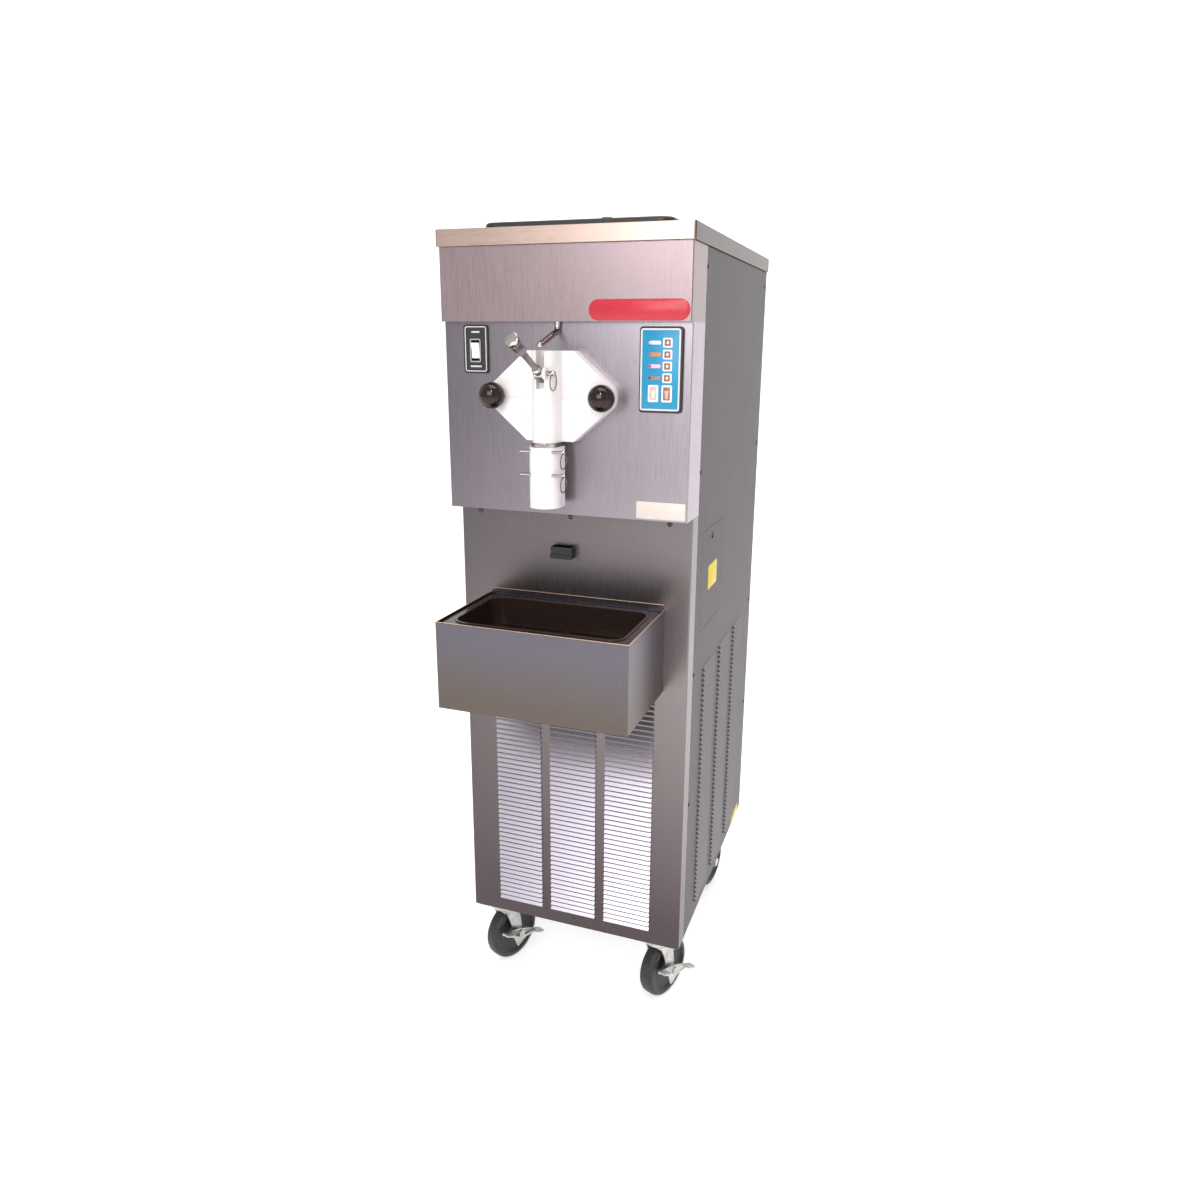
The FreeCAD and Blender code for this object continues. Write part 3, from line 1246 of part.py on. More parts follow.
pieces = {
    "frame": frame(),
    "lower_front_panel": lower_front_panel(),
    "front_panel": front_panel(),
    "header_panel": header_panel(),
    "left_side_panel": side_panel(-1),
    "right_side_panel": side_panel(1),
    "rear_panel": rear_panel(),
    "access_panel": access_panel(),
    "top_cover": top_cover(),
    "hopper": hopper(),
    "hopper_lid": hopper_lid(),
    "freezing_cylinder": freezing_cylinder(),
    "dasher": dasher(),
    "gearbox": gearbox(),
    "gearbox_pulley": pulley(HEAD_X, head_z, BIG_PULLEY_R, SHAFT_R, gearbox_rear - 24),
    "motor_pulley": pulley(motor_x, motor_z, SMALL_PULLEY_R, MOTOR_SHAFT_R, motor_rear - 24),
    "drive_belt": drive_belt(),
    "drive_motor": drive_motor(),
    "condenser": condenser(),
    "condenser_fan": condenser_fan(),
    "compressor": compressor(),
    "refrigerant_lines": refrigerant_lines(),
    "front_plate": front_plate(),
    "head_studs": head_studs(),
    "spout_collar": spout_collar(),
    "knob_left": ball_knob(-1),
    "knob_right": ball_knob(1),
    "plunger": plunger(),
    "draw_handle": draw_handle(),
    "handle_pin": handle_pin(),
    "spout_shroud": spout_shroud(),
    "shroud_pin_upper": cross_pin(CROSS_PIN_DROP[0]),
    "shroud_pin_lower": cross_pin(CROSS_PIN_DROP[1]),
    "switch_arm": switch_arm(),
    "switch_plate": switch_plate(),
    "power_rocker": power_rocker(),
    "control_panel": control_panel(),
    "drip_box": drip_box(),
    "drip_pan": drip_pan(),
    "drip_grid": drip_grid(),
    "drip_drawer": drip_drawer(),
    "panel_screws": panel_screws(),
    "cord_gland": cord_gland(),
    "badges": badges(),
}
for name, x, z, w, h in key_places():
    pieces[name] = key(x, z, w, h)
for corner, place in caster_places().items():
    pieces["caster_fork_" + corner] = set_caster(caster_fork(), place)
    pieces["caster_wheel_" + corner] = set_caster(caster_wheel(), place)
    if corner.startswith("front"):
        pieces["caster_brake_" + corner] = set_caster(caster_brake(), place)

# the footprint runs from the handle's grip to the rear rim of the cover
tilt = math.radians(LEVER_TILT)
footprint_front = pivot_y - LEVER_L * math.cos(tilt) - GRIP_R * math.sin(tilt)
footprint_rear = rear_y + RIM_OUT
shift_y = -(footprint_front + footprint_rear) / 2

for name, shape in pieces.items():
    shape.translate(V(0, shift_y, 0))
    if not shape.isValid():
        print("not valid:", name)
    shape.exportStep("parts/%s.step" % name)
print(len(pieces), "nodes, shift_y", round(shift_y, 3))
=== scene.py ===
import json
import math

import bmesh
import bpy
from mathutils import Matrix, Vector


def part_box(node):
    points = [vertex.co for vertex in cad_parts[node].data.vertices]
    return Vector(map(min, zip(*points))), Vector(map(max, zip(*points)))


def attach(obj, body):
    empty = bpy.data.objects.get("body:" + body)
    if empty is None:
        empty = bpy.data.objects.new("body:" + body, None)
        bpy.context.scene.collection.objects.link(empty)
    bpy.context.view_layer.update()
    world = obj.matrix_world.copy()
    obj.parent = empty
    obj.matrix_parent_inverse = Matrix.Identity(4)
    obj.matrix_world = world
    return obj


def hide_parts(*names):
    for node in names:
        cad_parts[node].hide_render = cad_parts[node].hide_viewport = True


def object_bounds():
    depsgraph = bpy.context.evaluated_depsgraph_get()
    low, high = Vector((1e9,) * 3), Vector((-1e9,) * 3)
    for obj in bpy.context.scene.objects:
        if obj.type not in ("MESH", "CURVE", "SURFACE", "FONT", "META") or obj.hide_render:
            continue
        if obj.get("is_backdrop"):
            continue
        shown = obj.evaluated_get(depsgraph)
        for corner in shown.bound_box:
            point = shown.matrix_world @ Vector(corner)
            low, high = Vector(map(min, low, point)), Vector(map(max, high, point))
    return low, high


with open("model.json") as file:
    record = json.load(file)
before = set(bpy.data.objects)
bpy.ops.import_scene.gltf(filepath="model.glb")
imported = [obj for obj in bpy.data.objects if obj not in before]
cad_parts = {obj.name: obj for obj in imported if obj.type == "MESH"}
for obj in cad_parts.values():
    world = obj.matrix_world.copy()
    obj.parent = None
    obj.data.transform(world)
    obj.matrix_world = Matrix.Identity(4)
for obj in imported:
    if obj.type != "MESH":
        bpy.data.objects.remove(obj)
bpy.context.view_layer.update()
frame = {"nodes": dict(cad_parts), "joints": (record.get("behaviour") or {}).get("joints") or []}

nodes = frame["nodes"]
joints = {joint["name"]: joint for joint in frame["joints"]}

# ---- camera ----
# It stands at chest height in front of the dispensing head, a little to the right, and looks down.
view_turn = math.radians(19.35)
view_drop = math.radians(14.888)
view_roll = math.radians(0.492)
ahead = Vector((-math.sin(view_turn) * math.cos(view_drop), math.cos(view_turn) * math.cos(view_drop),
                -math.sin(view_drop)))
across = Vector((math.cos(view_turn), math.sin(view_turn), 0))
upward = across.cross(ahead)
right = across * math.cos(view_roll) + upward * math.sin(view_roll)
top = upward * math.cos(view_roll) - across * math.sin(view_roll)
lens = bpy.data.cameras.new("camera")
lens.lens = 26.6
lens.sensor_width = 36
lens.shift_x = -0.0044
lens.shift_y = -0.0165
camera = bpy.data.objects.new("camera", lens)
camera.matrix_world = Matrix((
    (right.x, top.x, -ahead.x, 0.5935),
    (right.y, top.y, -ahead.y, -1.7071),
    (right.z, top.z, -ahead.z, 1.3313),
    (0, 0, 0, 1)))
bpy.context.scene.collection.objects.link(camera)
bpy.context.scene.camera = camera
bpy.context.scene.view_settings.view_transform = "Standard"


# ---- studio ----
# A sheet of pale paper is the floor and curves up into a wall.  Soft lamps hang in front, above and
# to the right, and the surround is an even white.
def make_piece(name, points, faces, sharp=35):
    """A new mesh, shaded smooth except where its faces turn by more than the sharp angle."""
    mesh = bpy.data.meshes.new(name)
    mesh.from_pydata([tuple(p) for p in points], [], faces)
    mesh.update()
    for face in mesh.polygons:
        face.use_smooth = True
    mesh.set_sharp_from_angle(angle=math.radians(sharp))
    piece = bpy.data.objects.new(name, mesh)
    bpy.context.scene.collection.objects.link(piece)
    return piece


def new_finish(name, colour, metallic=0.0, roughness=0.5, **sockets):
    """A material whose shader has these plain values; detail is wired on top of them."""
    finish = bpy.data.materials.new(name)
    finish.use_nodes = True
    shader = finish.node_tree.nodes["Principled BSDF"]
    shader.inputs["Base Color"].default_value = (*colour, 1)
    shader.inputs["Metallic"].default_value = metallic
    shader.inputs["Roughness"].default_value = roughness
    for socket, value in sockets.items():
        shader.inputs[socket.replace("_", " ")].default_value = value
    return finish


def wire(finish, kind, **inputs):
    """A node of the material; each input is a number, a colour, or another node's output."""
    node = finish.node_tree.nodes.new("ShaderNode" + kind)
    for name, value in inputs.items():
        socket = node.inputs[name.replace("_", " ")]
        if isinstance(value, bpy.types.NodeSocket):
            finish.node_tree.links.new(value, socket)
        else:
            socket.default_value = value
    return node


def grain(finish, scale, stretch=(1, 1, 1), detail=4):
    """Noise fixed to the machine, drawn out into lines along an axis whose stretch is small."""
    where = wire(finish, "TexCoord")
    place = wire(finish, "Mapping", Vector=where.outputs["Object"], Scale=stretch)
    return wire(finish, "TexNoise", Vector=place.outputs[0], Scale=scale, Detail=detail).outputs["Fac"]


def span(finish, amount, low, high, start=0.3, end=0.7):
    """The amount between start and end, spread from low to high."""
    node = finish.node_tree.nodes.new("ShaderNodeMapRange")
    finish.node_tree.links.new(amount, node.inputs[0])
    for i, value in enumerate((start, end, low, high)):
        node.inputs[i + 1].default_value = value
    return node.outputs[0]


def colour_ramp(finish, amount, colours, places=None):
    ramp = wire(finish, "ValToRGB", Fac=amount)
    stops = ramp.color_ramp.elements
    while len(stops) < len(colours):
        stops.new(0.5)
    for i, colour in enumerate(colours):
        stops[i].position = places[i] if places else 0.3 + 0.4 * i / (len(colours) - 1)
        stops[i].color = (*colour, 1)
    return ramp.outputs["Color"]


def to_shader(finish, socket, value):
    finish.node_tree.links.new(value, finish.node_tree.nodes["Principled BSDF"].inputs[socket])


def relief(finish, amount, depth, strength=0.3):
    bump = wire(finish, "Bump", Height=amount, Strength=strength, Distance=depth)
    to_shader(finish, "Normal", bump.outputs["Normal"])


floor_finish = new_finish("studio_paper", (0.9, 0.9, 0.9), roughness=0.9, Emission_Color=(1, 1, 1, 1),
                          Emission_Strength=0.45)
to_shader(floor_finish, "Roughness", span(floor_finish, grain(floor_finish, 3), 0.85, 0.95))
sweep = [(-7, 0), (2.5, 0)]
for i in range(1, 13):
    bend = math.radians(90 * i / 12)
    sweep.append((2.5 + 2.5 * math.sin(bend), 2.5 - 2.5 * math.cos(bend)))
sweep.append((5, 9))
studio = make_piece(
    "studio_floor", [(x, y, z) for y, z in sweep for x in (-9, 9)],
    [(2 * i, 2 * i + 1, 2 * i + 3, 2 * i + 2) for i in range(len(sweep) - 1)])
studio.data.materials.append(floor_finish)
studio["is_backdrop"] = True


def hang_lamp(name, place, target, size, power, colour):
    light = bpy.data.lights.new(name, "AREA")
    light.shape = "RECTANGLE"
    light.size, light.size_y = size
    light.energy = power
    light.color = colour
    holder = bpy.data.objects.new(name, light)
    bpy.context.scene.collection.objects.link(holder)
    holder.location = place
    holder.rotation_euler = (Vector(target) - Vector(place)).to_track_quat("-Z", "Y").to_euler()


hang_lamp("front_softbox", (0.1, -3.3, 2.3), (0, 0, 1.0), (2.2, 1.8), 52, (1, 0.985, 1))
hang_lamp("overhead_softbox", (0.3, 0.2, 4.4), (0, 0, 0), (3.0, 3.0), 80, (1, 0.95, 0.91))
hang_lamp("right_fill", (3.6, -1.4, 1.7), (0, 0, 0.8), (1.4, 2.6), 4, (0.97, 0.96, 1))
hang_lamp("front_bulb", (0.5, -1.75, 2.7), (0, -0.2, 1.1), (0.18, 0.18), 10, (1, 0.78, 0.58))
surround = bpy.data.worlds.new("surround")
surround.use_nodes = True
surround.node_tree.nodes["Background"].inputs["Color"].default_value = (1, 1, 1, 1)
surround.node_tree.nodes["Background"].inputs["Strength"].default_value = 0.62
bpy.context.scene.world = surround


# ---- chassis ----
# Angle posts, box rails and the base pan are steel, zinc plated and bolted together.  Bolted plates
# under the pan's corners carry the casters.
def dress(finish, *names):
    """Give carried-over nodes their finish."""
    for name in names:
        slots = nodes[name].data.materials
        slots.clear()
        slots.append(finish)


zinc = new_finish("zinc_plate", (0.55, 0.55, 0.54), 1.0, 0.4)
spangle = grain(zinc, 60, detail=3)
to_shader(zinc, "Roughness", span(zinc, spangle, 0.28, 0.5))
to_shader(zinc, "Base Color", colour_ramp(zinc, spangle, [(0.36, 0.36, 0.355), (0.66, 0.66, 0.645)]))
relief(zinc, spangle, 0.0004)
dress(zinc, "frame")


# ---- casters ----
# Each has a zinc plated steel fork, pressed and riveted, on a swivel under the base pan.  The wheel is
# one piece of hard black polyurethane.  The front pair have a winged foot brake on the axle.
def set_piece(piece, finish, slot, body, *stands_for):
    """Finish a piece, hang it on its body, and hide the nodes that it stands for."""
    piece.data.materials.append(finish)
    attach(piece, body)
    if stands_for:
        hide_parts(*stands_for)
    return piece


def turn_points(profile, axis, centre, turns):
    """The points of a turned piece: (along, radius) pairs spun round an axis through centre."""
    axis = Vector(axis).normalized()
    side = axis.orthogonal().normalized()
    other = axis.cross(side)
    points = []
    for along, radius in profile:
        for i in range(turns):
            a = math.tau * i / turns
            points.append(Vector(centre) + axis * along + (side * math.cos(a) + other * math.sin(a)) * radius)
    return points


def lathe(name, profile, axis, centre, turns=64, closed=False, sharp=35):
    """A turned piece; an open profile gets flat ends, and a closed one is a ring."""
    rows = len(profile)
    faces = []
    for r in range(rows if closed else rows - 1):
        for i in range(turns):
            j = (i + 1) % turns
            s = (r + 1) % rows
            faces.append((r * turns + i, r * turns + j, s * turns + j, s * turns + i))
    if not closed:
        faces.append(tuple(reversed(range(turns))))
        faces.append(tuple(range((rows - 1) * turns, rows * turns)))
    piece = make_piece(name, turn_points(profile, axis, centre, turns), faces, sharp)
    face_outward(piece)
    return piece


def face_outward(piece):
    shape = bmesh.new()
    shape.from_mesh(piece.data)
    bmesh.ops.recalc_face_normals(shape, faces=shape.faces)
    shape.to_mesh(piece.data)
    shape.free()


def eased(name, node, width, sharp=35, segments=2):
    """A carried-over piece with its sharp edges rounded, as folding, moulding or tumbling leaves them."""
    shape = bmesh.new()
    shape.from_mesh(nodes[node].data)
    bmesh.ops.remove_doubles(shape, verts=shape.verts, dist=2e-6)
    bmesh.ops.dissolve_limit(shape, angle_limit=math.radians(1), verts=shape.verts, edges=shape.edges)
    edges = [e for e in shape.edges if len(e.link_faces) == 2 and e.calc_face_angle(0) > math.radians(sharp)]
    bmesh.ops.bevel(shape, geom=edges, offset=width, segments=segments, affect="EDGES", profile=0.5,
                    clamp_overlap=True)
    mesh = bpy.data.meshes.new(name)
    shape.to_mesh(mesh)
    shape.free()
    for face in mesh.polygons:
        face.use_smooth = True
    mesh.set_sharp_from_angle(angle=math.radians(50))
    piece = bpy.data.objects.new(name, mesh)
    bpy.context.scene.collection.objects.link(piece)
    # large faces stay flat right up to their rounded edges
    shading = piece.modifiers.new("even_shading", "WEIGHTED_NORMAL")
    shading.keep_sharp = True
    shading.weight = 100
    return piece


tread = new_finish("caster_polyurethane", (0.018, 0.018, 0.022), 0, 0.5)
scuff = grain(tread, 90, detail=6)
to_shader(tread, "Roughness", span(tread, scuff, 0.35, 0.6))
to_shader(tread, "Base Color", colour_ramp(tread, scuff, [(0.008, 0.008, 0.011), (0.028, 0.028, 0.032)]))
relief(tread, grain(tread, 700), 0.0003, 0.25)

# millimetres: distance from the wheel's middle and radius, from the tread in to the hub's bore
wheel_half = [(0, 63.5), (6, 63.5), (10, 62.9), (13.5, 61), (15.6, 57.5), (16, 53), (15.2, 49.5),
              (12.5, 47.5), (11.2, 45), (10.8, 24), (12, 20.5), (15, 18.5), (17, 17.5), (17, 6.1)]
wheel_profile = [(y / 1000, r / 1000) for y, r in wheel_half]
wheel_profile += [(-y, r) for y, r in reversed(wheel_profile[1:])]
for corner in ("front_left", "front_right", "rear_left", "rear_right"):
    spin = joints["caster_spin_" + corner]
    wheel = lathe("wheel_" + corner, wheel_profile, spin["axis"], spin["pos_m"], 72, True, 60)
    set_piece(wheel, tread, "caster_rubber", "caster_wheel_" + corner, "caster_wheel_" + corner)
    fork = eased("fork_" + corner, "caster_fork_" + corner, 0.0009)
    set_piece(fork, zinc, "zinc_steel", "caster_fork_" + corner, "caster_fork_" + corner)
    if corner.startswith("front"):
        pedal = eased("brake_pedal_" + corner, "caster_brake_" + corner, 0.0007)
        set_piece(pedal, zinc, "zinc_steel", "caster_brake_" + corner, "caster_brake_" + corner)

# ---- refrigeration ----
# An aluminium finned condenser with a fan drawing air through the front louvres, a welded black
# compressor on rubber feet, a black receiver, and brazed copper lines to the freezing cylinder.
fins = new_finish("aluminium_fins", (0.62, 0.62, 0.62), 1.0, 0.42)
fin_stripes_and_gap_shade = wire(fins, "TexWave", Scale=70.0, Distortion=0.4)
fins.node_tree.links.new(wire(fins, "TexCoord").outputs["Object"], fin_stripes_and_gap_shade.inputs["Vector"])
# The dark stops of the fin stripes are painted shade in the gaps between the fins; the same stripes give the
# fins their bump.
to_shader(fins, "Base Color",
          colour_ramp(fins, fin_stripes_and_gap_shade.outputs["Fac"], [(0.12, 0.12, 0.12), (0.65, 0.65, 0.65)]))
relief(fins, fin_stripes_and_gap_shade.outputs["Fac"], 0.001, 0.6)
cast = new_finish("cast_aluminium", (0.55, 0.55, 0.55), 1.0, 0.5)
to_shader(cast, "Roughness", span(cast, grain(cast, 250), 0.4, 0.62))
relief(cast, grain(cast, 600), 0.0004, 0.4)
enamel = new_finish("black_enamel", (0.02, 0.02, 0.022), 0, 0.3, Coat_Weight=0.3)
to_shader(enamel, "Roughness", span(enamel, grain(enamel, 150), 0.22, 0.42))
copper = new_finish("drawn_copper", (0.72, 0.4, 0.28), 1.0, 0.3)
tarnish = grain(copper, 40, detail=6)
to_shader(copper, "Base Color", colour_ramp(copper, tarnish, [(0.42, 0.22, 0.15), (0.76, 0.44, 0.31)]))
to_shader(copper, "Roughness", span(copper, tarnish, 0.45, 0.25))
dress(fins, "condenser")
dress(cast, "condenser_fan")
dress(enamel, "compressor")
dress(copper, "refrigerant_lines")

# ---- dasher drive ----
# A foot-mounted motor turns a toothless rubber belt on cast pulleys.  The large pulley drives the
# reduction gearbox behind the freezing cylinder.
belt_rubber = new_finish("belt_rubber", (0.025, 0.025, 0.026), 0, 0.7)
to_shader(belt_rubber, "Roughness", span(belt_rubber, grain(belt_rubber, 300), 0.6, 0.8))
dress(cast, "gearbox", "gearbox_pulley", "motor_pulley")
dress(enamel, "drive_motor")
dress(belt_rubber, "drive_belt")

# ---- freezing cylinder, dasher and hopper ----
# The cylinder is stainless in an insulated jacket, and the dasher's paddles scrape its wall.  The
# hopper is a drawn stainless tank that hangs in the top cover and feeds the cylinder by gravity.
bright = new_finish("polished_steel", (0.75, 0.73, 0.74), 1.0, 0.15)
haze = grain(bright, 300)
to_shader(bright, "Roughness", span(bright, haze, 0.08, 0.2))
# Painted shade: the colour darkens from faces seen square on to faces seen edge-on.
painted_edge_shade = wire(bright, "LayerWeight", Blend=0.5).outputs["Facing"]
painted_edge_shade_colours = [(0.62, 0.57, 0.56), (0.3, 0.27, 0.27), (0.04, 0.036, 0.036)]
to_shader(bright, "Base Color", colour_ramp(bright, painted_edge_shade, painted_edge_shade_colours, [0.2, 0.45, 0.8]))
dress(bright, "freezing_cylinder", "dasher", "hopper")

# ---- hopper lid ----
# A black moulded lid with a turned-down edge and a mushroom knob, laid over the hopper's collar.
black_moulding = new_finish("black_moulding", (0.018, 0.018, 0.02), 0, 0.42)
to_shader(black_moulding, "Roughness", span(black_moulding, grain(black_moulding, 200), 0.34, 0.52))
relief(black_moulding, grain(black_moulding, 1500, detail=2), 0.0001, 0.3)
lid = eased("lid_and_knob", "hopper_lid", 0.001, 30)
set_piece(lid, black_moulding, "black_plastic", "hopper_lid", "hopper_lid")


# ---- cabinet panels ----
# Stainless sheet, brushed up and down, folded at the edges, lanced into louvres, and screwed to the
# posts.  The cover on top is brushed from side to side.
def brushed(name, light, tone=1.0, painted_highlight_colour=None, foot=None, flank=None, lines=(1, 1, 0.01)):
    """Stainless sheet: fine brush lines and faint smudges; its tone drifts from left to right, which is
    painted light.

    The lance colour is a painted highlight on the upturned faces of rims and louvres, and the downturned
    ones get a dark painted shade.  Foot is a second colour, painted shade towards the bottom, and the heights
    between which it takes over; flank is a painted shade colour for faces that point to the right.
    """
    dark = [c * 0.93 for c in light]
    finish = new_finish(name, light, 1.0, 0.3)
    fine = grain(finish, 2400, lines, 2)
    colour = colour_ramp(finish, fine, [dark, light])
    smudge = span(finish, grain(finish, 6, detail=5), 0, 0.3, 0.45, 0.75)
    handled = wire(finish, "MixRGB", Color1=colour, Color2=(*[c * 0.84 for c in dark], 1), Fac=smudge)
    place = wire(finish, "SeparateXYZ", Vector=wire(finish, "TexCoord").outputs["Object"])
    # painted light: the colour is scaled from tone at the left edge to full at the right
    painted_light_drift = wire(finish, "MixRGB", Color1=handled.outputs[0], Fac=1.0,
                 Color2=span(finish, place.outputs["X"], tone, 1, -0.23, 0.23))
    painted_light_drift.blend_type = "MULTIPLY"
    tint = painted_light_drift.outputs[0]
    # painted shade: the foot colour takes over towards the bottom
    if foot:
        lower, z0, z1 = foot
        painted_low_shade_mask = span(finish, place.outputs["Z"], 1, 0, z0, z1)
        tint = wire(finish, "MixRGB", Color1=tint, Color2=(*lower, 1), Fac=painted_low_shade_mask).outputs[0]
    facing = wire(finish, "SeparateXYZ", Vector=wire(finish, "NewGeometry").outputs["True Normal"])
    # painted shade on faces that point to the right
    if flank:
        turned = span(finish, facing.outputs["X"], 0, 1, 0.5, 0.8)
        tint = wire(finish, "MixRGB", Color1=tint, Color2=(*flank, 1), Fac=turned).outputs[0]
    # painted highlight on upturned faces, painted shade on downturned ones
    if painted_highlight_colour:
        painted_highlight_mask = span(finish, facing.outputs["Z"], 0, 1, 0.05, 0.2)
        painted_underside_shade_mask = span(finish, facing.outputs["Z"], 1, 0, -0.2, -0.05)
        tint = wire(finish, "MixRGB", Color1=tint, Color2=(*painted_highlight_colour, 1), Fac=painted_highlight_mask).outputs[0]
        tint = wire(finish, "MixRGB", Color1=tint, Color2=(0.03, 0.027, 0.027, 1), Fac=painted_underside_shade_mask).outputs[0]
    to_shader(finish, "Base Color", tint)
    to_shader(finish, "Roughness", span(finish, fine, 0.26, 0.38))
    relief(finish, fine, 0.00005, 0.05)
    return finish


# The number after each colour is painted light: how bright the sheet's left edge is against its right.
header_steel = brushed("header_steel", (0.33, 0.26, 0.272), 1.25)
panel_steel = brushed("front_steel", (0.46, 0.41, 0.455), 0.52)
# The lower panel's upturned louvre faces get a painted highlight, and a darker colour below the given heights
# is painted shade.
lower_steel = brushed("lower_steel", (0.25, 0.22, 0.225), 0.62, (0.56, 0.53, 0.61),
                      ((0.09, 0.074, 0.078), 0.2, 0.75))
# The side and rear panels are the front's stainless made darker, which is painted shade, and their upturned
# louvre faces get a painted highlight.
side_steel = brushed("side_steel", (0.21, 0.195, 0.203), 1.0, (0.28, 0.26, 0.27))
side_steel.node_tree.nodes["Principled BSDF"].inputs["Specular Tint"].default_value = (0.5, 0.5, 0.5, 1)
# The cover's warm peach colour is a painted warm reflection, and the dark colour on its right-facing faces is
# painted shade.
cover_steel = brushed("cover_steel", (0.60, 0.45, 0.39), 1.0, None, None, (0.10, 0.085, 0.08), (0.01, 1, 1))
dress(header_steel, "header_panel")
dress(panel_steel, "front_panel")
dress(lower_steel, "lower_front_panel")
dress(side_steel, "left_side_panel", "right_side_panel", "rear_panel", "access_panel")
set_piece(eased("cover_sheet", "top_cover", 0.0008), cover_steel, "brushed_stainless", "cabinet", "top_cover")

# ---- fasteners and cord gland ----
# Domed steel screws hold the panels.  The supply cord enters at the rear through a black gland.
screw_steel = new_finish("screw_steel", (0.09, 0.085, 0.09), 1.0, 0.25)
to_shader(screw_steel, "Roughness", span(screw_steel, grain(screw_steel, 500), 0.22, 0.42))
dress(screw_steel, "panel_screws")
dress(black_moulding, "cord_gland")


# ---- badge and labels ----
# A raised crimson badge on the header, a cream notice under the head, and two yellow tags on the
# right side.  All are blank printed film or moulding, stuck on.
def round_outline(x0, x1, z0, z1, r, steps=6):
    """A rounded rectangle, as (x, z) points anticlockwise."""
    outline = []
    corners = ((x1 - r, z1 - r, 0), (x0 + r, z1 - r, 90), (x0 + r, z0 + r, 180), (x1 - r, z0 + r, 270))
    for cx, cz, start in corners:
        for i in range(steps + 1):
            a = math.radians(start + 90 * i / steps)
            outline.append((cx + r * math.cos(a), cz + r * math.sin(a)))
    return outline


def plate(name, outline, front, back, ease=0.0004):
    """A flat piece facing -Y, cut to an (x, z) outline, with its front edge eased."""
    n = len(outline)
    mx = sum(x for x, z in outline) / n
    mz = sum(z for x, z in outline) / n
    half_x = max(abs(x - mx) for x, z in outline)
    half_z = max(abs(z - mz) for x, z in outline)
    inner = [(mx + (x - mx) * (1 - ease / half_x), mz + (z - mz) * (1 - ease / half_z)) for x, z in outline]
    points = [(x, back, z) for x, z in outline]
    points += [(x, front + ease, z) for x, z in outline]
    points += [(x, front, z) for x, z in inner]
    faces = [tuple(range(n)), tuple(reversed(range(2 * n, 3 * n)))]
    for row in (0, n):
        for i in range(n):
            j = (i + 1) % n
            faces.append((row + i, row + n + i, row + n + j, row + j))
    piece = make_piece(name, points, faces, 60)
    face_outward(piece)
    return piece


def film(name, colour, roughness=0.35):
    """Printed film or smooth moulding in one colour, a little uneven in shine and tone."""
    finish = new_finish(name, colour, 0, roughness)
    mottle = grain(finish, 90, detail=3)
    to_shader(finish, "Roughness", span(finish, mottle, roughness - 0.06, roughness + 0.08))
    to_shader(finish, "Base Color", colour_ramp(finish, mottle, [[c * 0.93 for c in colour], colour]))
    return finish


crimson = film("badge_crimson", (0.52, 0.025, 0.045), 0.3)
cream = film("notice_film", (0.72, 0.66, 0.62))
yellow = film("tag_film", (0.72, 0.56, 0.04))
panel_low, panel_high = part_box("front_panel")
badge_right = panel_high[0] - 0.0032
header_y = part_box("header_panel")[0][1]
header_edge = panel_high[2]
badge_outline = round_outline(badge_right - 0.174, badge_right, header_edge + 0.0016,
                              header_edge + 0.0356, 0.0168, 10)
badge = plate("badge", badge_outline, header_y - 0.002, header_y, 0.0008)
set_piece(badge, crimson, "red_badge", "cabinet", "badges")
notice_outline = round_outline(badge_right - 0.089, badge_right - 0.001, panel_low[2] + 0.003,
                               panel_low[2] + 0.033, 0.002)
notice = plate("notice", notice_outline, panel_low[1] - 0.0004, panel_low[1], 0.0001)
set_piece(notice, cream, "red_badge", "cabinet")


def side_tag(name, y0, y1, z0, z1):
    """A tag on the right side panel."""
    tag = plate(name, round_outline(y0, y1, z0, z1, 0.003), -0.0004, 0, 0.0001)
    tag.data.transform(Matrix(((0, -1, 0, panel_high[0]), (1, 0, 0, 0), (0, 0, 1, 0), (0, 0, 0, 1))))
    return set_piece(tag, yellow, "red_badge", "cabinet")


access_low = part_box("access_panel")[0]
side_tag("access_tag", access_low[1] + 0.058, access_low[1] + 0.133,
         access_low[2] + 0.079, access_low[2] + 0.127)
side_low, side_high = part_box("right_side_panel")
side_tag("base_tag", side_high[1] - 0.112, side_high[1] - 0.03, side_low[2] + 0.003, side_low[2] + 0.022)

# ---- power switch ----
# A black moulded plate with a silver line round it holds a white rocker in a grey rim.  The plate is
# fixed by two small screws.
white_moulding = new_finish("white_moulding", (0.78, 0.765, 0.77), 0, 0.32, Coat_Weight=0.2)
to_shader(white_moulding, "Roughness", span(white_moulding, grain(white_moulding, 120), 0.26, 0.4))
relief(white_moulding, grain(white_moulding, 900, detail=2), 0.0001, 0.15)
silver = film("silver_print", (0.66, 0.65, 0.66), 0.3)
grey_rim = film("rocker_rim", (0.35, 0.34, 0.35), 0.4)


def outline_ring(name, box, width, front, depth, r):
    """A thin printed line round a rounded rectangle; box is x0, x1, z0, z1."""
    x0, x1, z0, z1 = box
    outer = round_outline(x0, x1, z0, z1, r)
    inner = round_outline(x0 + width, x1 - width, z0 + width, z1 - width, r - width)
    n = len(outer)
    points = [(x, y, z) for y in (front, front + depth) for loop in (outer, inner) for x, z in loop]
    faces = []
    for i in range(n):
        j = (i + 1) % n
        for a, b in ((0, n), (n, 3 * n), (3 * n, 2 * n), (2 * n, 0)):
            faces.append((a + i, a + j, b + j, b + i))
    piece = make_piece(name, points, faces)
    face_outward(piece)
    return piece


